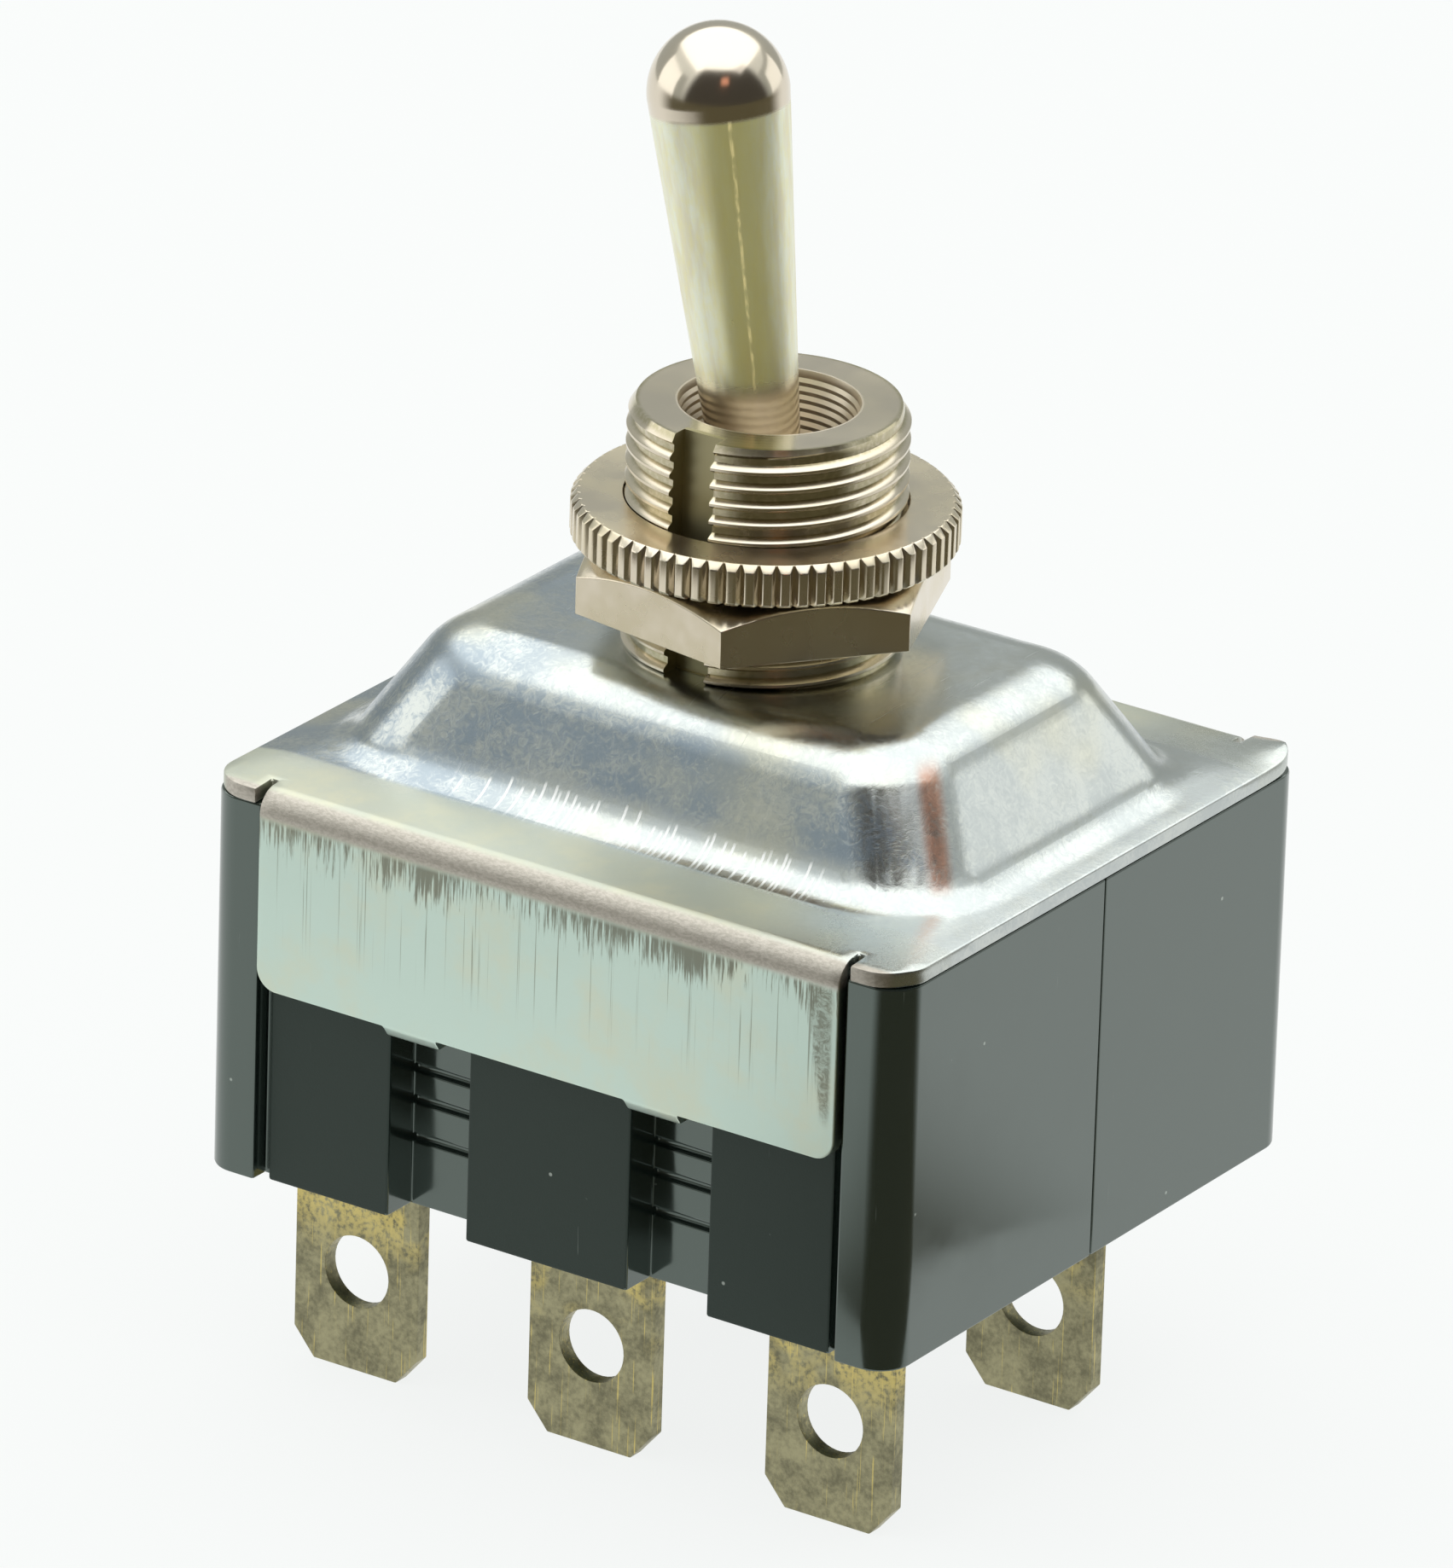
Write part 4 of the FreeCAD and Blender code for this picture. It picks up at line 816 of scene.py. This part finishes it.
class SWITCH_OT_cover(bpy.types.Operator):
    """Eases the drawn cover's sheared edges and bends its rear right ear up a little"""
    bl_idname = "switch.cover"
    bl_label = "Drawn cover"

    def execute(self, context):
        size = sizes()
        bm = welded_copy("cover")
        ease_edges(bm, size.sheet_edge)
        self.cut_grid(bm)
        self.dish_flange(bm, size)
        for vert in bm.verts:
            out = size.ear_side + min(vert.co.x - COVER_HIGH.x, vert.co.y - COVER_HIGH.y)
            if out > 0 and vert.co.z > BODY_HIGH.z - MM:
                vert.co.z += size.ear_curl * (out / size.ear_side) ** 2
        cover = new_object("drawn_cover", bm)
        stand_in(cover, "cover", [zinc_plate("zinc_plated_drawn_steel")])
        return {"FINISHED"}

    def cut_grid(self, bm):
        """Cuts the flange's wide flat faces into cells, so that they can be bent.

        Across and along it the cuts start at a distance from the middle, in millimetres, and go on by a step."""
        across, along = Vector((1, 0, 0)), Vector((0, 1, 0))
        for facing, start, step, count in ((across, 11.9, 0.7, 8), (along, 9.9, 0.8, 7)):
            for n in range(count):
                for side in (-1, 1):
                    parts = bm.verts[:] + bm.edges[:] + bm.faces[:]
                    bmesh.ops.bisect_plane(bm, geom=parts, dist=WELD, plane_no=facing,
                                           plane_co=facing * (side * (start + n * step) * MM))

    def dish_flange(self, bm, size):
        """Lets the flange rise a little from its edges to the plateau's foot, as the drawn sheet does."""
        flange = BODY_HIGH.z + size.sheet_thick
        rise = COVER_HIGH.z - flange
        rim = Vector((COVER_HIGH.x, BODY_HIGH.y))
        foot = rim - Vector((size.side_strip, size.front_strip))
        for vert in bm.verts:
            if vert.co.z < BODY_HIGH.z - WELD:
                continue
            share = 1.0
            for axis, out in enumerate((abs(vert.co.x), abs(vert.co.y))):
                share = min(share, 1 - (out - foot[axis]) / (rim[axis] - foot[axis]))
            height = min(max((vert.co.z - flange) / rise, 0), 1)
            vert.co.z += size.flange_dish * max(share, 0) * (1 - height)


class SWITCH_OT_modules(bpy.types.Operator):
    """Eases the moulded modules' edges and gives their pads a matte finish"""
    bl_idname = "switch.modules"
    bl_label = "Pole modules"

    def execute(self, context):
        size = sizes()
        gloss = phenolic("black_phenolic_polished", False)
        matte = phenolic("black_phenolic_matte", True)
        for pole, side in POLES:
            node_name = pole + "_pole_module"
            module = eased_piece("moulded_", node_name, size.mould_edge)
            pad = BODY_HIGH.y - size.pad_step
            for face in module.data.polygons:
                if abs(side * face.center.y - pad) < 0.02 * MM and side * face.normal.y > 0.9:
                    face.material_index = 1
            stand_in(module, node_name, [gloss, matte])
        return {"FINISHED"}


class SWITCH_OT_blades(bpy.types.Operator):
    """Eases the edges of the six blades"""
    bl_idname = "switch.blades"
    bl_label = "Blades"

    def execute(self, context):
        size = sizes()
        finish = blade_brass("tarnished_stamped_brass")
        for pole, _ in POLES:
            for hand in HANDS:
                node_name = "%s_%s_blade" % (pole, hand)
                blade = eased_piece("stamped_", node_name, size.metal_edge)
                stand_in(blade, node_name, [finish])
        return {"FINISHED"}


class SWITCH_OT_mechanism(bpy.types.Operator):
    """Gives the hidden pieces of the mechanism their finishes, and puts welded copies in place of the springs"""
    bl_idname = "switch.mechanism"
    bl_label = "Mechanism"

    def execute(self, context):
        steel = mechanism_finish("drawn_spring_steel", "#a9abab", 1.0, 0.25, 0.4, 0.004)
        brown = mechanism_finish("brown_moulded_phenolic", "#3a2417", 0.0, 0.5, 0.3, 0.01)
        nylon = mechanism_finish("turned_nylon", "#dcd6c2", 0.0, 0.4, 0.3, 0.005)
        brass = mechanism_finish("stamped_contact_brass", "#c09a56", 1.0, 0.3, 0.8, 0.008)
        silver = mechanism_finish("headed_silver", "#dedcd5", 1.0, 0.22, 0.3, 0.005)
        wanted = {"lever_pin": steel, "contact_carrier": brown}
        for pole, _ in POLES:
            self.spring(pole, steel)
            wanted[pole + "_plunger"] = nylon
            wanted[pole + "_rocker"] = brass
            for hand in ("left", "right"):
                wanted["%s_%s_fixed_contact" % (pole, hand)] = silver
                wanted["%s_%s_moving_contact" % (pole, hand)] = silver
        for node_name, finish in wanted.items():
            for slot in frame["nodes"][node_name].material_slots:
                slot.material = finish
        return {"FINISHED"}

    def spring(self, pole, finish):
        """A welded copy of a spring, which lies between its seat on the lever's side and the plunger that slides
        towards it.
        """
        node_name = pole + "_plunger_spring"
        slide = JOINTS[pole + "_plunger_slide"]
        low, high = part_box(node_name)
        middle = (low + high) / 2
        reach = (high.z - low.z) / 2 / slide["axis"][2] * Vector(slide["axis"])
        coil = new_object("coiled_" + node_name, welded_copy(node_name))
        stand_in(coil, node_name, [finish],
                 (slide["parent"], slide["child"], middle + reach, middle - reach))


class SWITCH_OT_stage(bpy.types.Operator):
    """Sets up the floor, the lights, the cards that the metal mirrors and the camera"""
    bl_idname = "switch.stage"
    bl_label = "Studio"

    def execute(self, context):
        studio = context.scene.switch_studio
        self.floor(studio)
        self.world(studio)
        self.cards(studio)
        self.lights()
        self.camera(studio)
        context.scene.view_settings.view_transform = "Standard"
        return {"FINISHED"}

    def floor(self, studio):
        """A wide paper floor. To the camera and in the metal it glows a little, so its shadow stays faint."""
        bm = bmesh.new()
        bmesh.ops.create_grid(bm, x_segments=8, y_segments=8, size=3.0)
        ground = new_object("floor", bm)
        finish, tree, shader = new_material("white_paper", studio.floor, 0.0, 0.9)
        let_glow(tree, where(tree, seen(tree), studio.shadow_lift), shader.outputs[0], studio.floor)
        ground.data.materials.append(finish)

    def world(self, studio):
        """A light tent all round, at full strength wherever it is looked at or mirrored."""
        world = bpy.data.worlds.new("light_tent")
        world.use_nodes = True
        tree = world.node_tree
        background = tree.nodes["Background"]
        background.inputs["Color"].default_value = (*studio.surround, 1)
        level = layered(tree, studio.surround_strength, (seen(tree), 1.0))
        tree.links.new(level, background.inputs["Strength"])
        bpy.context.scene.world = world

    def cards(self, studio):
        """Cards that only glossy surfaces mirror: the room all round, and a small warm card.

        Each is given by its first and last azimuth and the width of its soft ends, in degrees, by how much it
        narrows upwards, by the distance and height of its two long edges, in metres, and by its colour."""
        cards = (("grey_room", 110, 340, 12, 0.0, (1.35, 1.35, 0.0, 0.86), studio.grey_room),
                 ("dim_room", -32, 128, 14, 0.2, (1.2, 1.2, 0.0, 1.72), studio.dim_room),
                 ("dim_floor", -10, 122, 28, 0.0, (0.03, 1.3, 0.004, 0.004), studio.dim_floor),
                 ("dim_far_floor", -78, 158, 36, 0.0, (0.118, 1.3, 0.003, 0.003), studio.dim_floor),
                 ("warm_card", 37, 54, 3, 0.0, (1.15, 1.15, 0.76, 1.1), studio.warm_card))
        for name, start, end, soft, narrowing, (near, far, low, high), colour in cards:
            finish, tree, _ = new_material(name, colour, 0.0, 0.9)
            finish.cycles.emission_sampling = "NONE"
            middle = direction(math.radians((start + end) / 2), 0)
            half = math.radians((end - start) / 2)
            spot, _, _, up = places(tree)
            level = node(tree, "VectorMath", {0: spot, 1: (1, 1, 0)}, operation="MULTIPLY")
            level = node(tree, "VectorMath", {0: level}, operation="NORMALIZE")
            turn = node(tree, "VectorMath", {0: level, 1: middle}, out="Value", operation="DOT_PRODUCT")
            turn = total(tree, turn, (up, -narrowing))
            shade = where(tree, (turn, math.cos(half), math.cos(half - math.radians(soft))))
            let_glow(tree, shade, node(tree, "BsdfTransparent"), colour)
            bm = bmesh.new()
            points = [bm.verts.new((0, -near, low)), bm.verts.new((0, -far, high))]
            first = Matrix.Rotation(math.radians(start), 3, "Z")
            bmesh.ops.rotate(bm, cent=(0, 0, 0), matrix=first, verts=points)
            spin(bm, points, math.radians(end - start), 24)
            card = new_object(name, bm)
            card.data.materials.append(finish)
            for kind in ("camera", "diffuse", "shadow", "transmission"):
                setattr(card, "visible_" + kind, False)

    def lights(self):
        """Soft panels, each given by its azimuth and elevation in degrees, its distance,
        width and height in metres, and its brightness."""
        panels = (("overhead", 213, 78, 1.0, 1.8, 1.95, 1.0), ("left", -64, 17, 1.1, 0.8, 0.66, 1.0),
                  ("right_rear", 147, 14, 1.1, 0.7, 0.5, 0.8))
        for name, turn, rise, distance, width, height, radiance in panels:
            light = bpy.data.lights.new(name, "AREA")
            light.shape = "RECTANGLE"
            light.size = width
            light.size_y = height
            light.energy = math.pi * width * height * radiance
            back = direction(math.radians(turn), math.radians(rise))
            lamp = placed(name, light, distance * back, (-back).to_track_quat("-Z", "Y"))
            lamp.visible_camera = False

    def camera(self, studio):
        """The camera, turned from its aim by the framing and then about its own line of sight."""
        back = direction(studio.azimuth, studio.elevation)
        aim = Vector((0, 0, studio.aim_height))
        place = aim + studio.distance * back
        level = (-back).to_track_quat("-Z", "Y") @ Quaternion((0, 0, 1), studio.roll)
        target = aim + level @ Vector((-studio.aim_right, studio.aim_down, 0))
        turned_sight = (target - place).to_track_quat("-Z", "Y") @ Quaternion((0, 0, 1), studio.roll)
        data = bpy.data.cameras.new("camera")
        data.lens = studio.lens
        data.sensor_width = 36
        data.clip_start = 0.01
        data.clip_end = 20
        bpy.context.scene.camera = placed("camera", data, place, turned_sight)


GROUPS = {"switch_sizes": SwitchSizes, "switch_finishes": SwitchFinishes, "switch_studio": SwitchStudio}
OPERATORS = (SWITCH_OT_lever, SWITCH_OT_bushing, SWITCH_OT_nuts, SWITCH_OT_cover, SWITCH_OT_modules,
             SWITCH_OT_blades, SWITCH_OT_mechanism, SWITCH_OT_stage)


class SWITCH_PT_panel(bpy.types.Panel):
    """Buttons for each group of pieces and the studio"""
    bl_idname = "SWITCH_PT_panel"
    bl_label = "Toggle switch"
    bl_space_type = "VIEW_3D"
    bl_region_type = "UI"
    bl_category = "Switch"

    def draw(self, context):
        for group, kind in GROUPS.items():
            column = self.layout.column(align=True)
            for name in kind.__annotations__:
                column.prop(getattr(context.scene, group), name)
        for operator in OPERATORS:
            self.layout.operator(operator.bl_idname)


CLASSES = (*GROUPS.values(), *OPERATORS, SWITCH_PT_panel)


def register():
    for item in CLASSES:
        bpy.utils.register_class(item)
    for name, group in GROUPS.items():
        setattr(bpy.types.Scene, name, PointerProperty(type=group))


def unregister():
    for name in GROUPS:
        delattr(bpy.types.Scene, name)
    for item in reversed(CLASSES):
        bpy.utils.unregister_class(item)


def main():
    register()
    for operator in OPERATORS:
        group, name = operator.bl_idname.split(".")
        getattr(getattr(bpy.ops, group), name)()


if __name__ == "__main__":
    main()
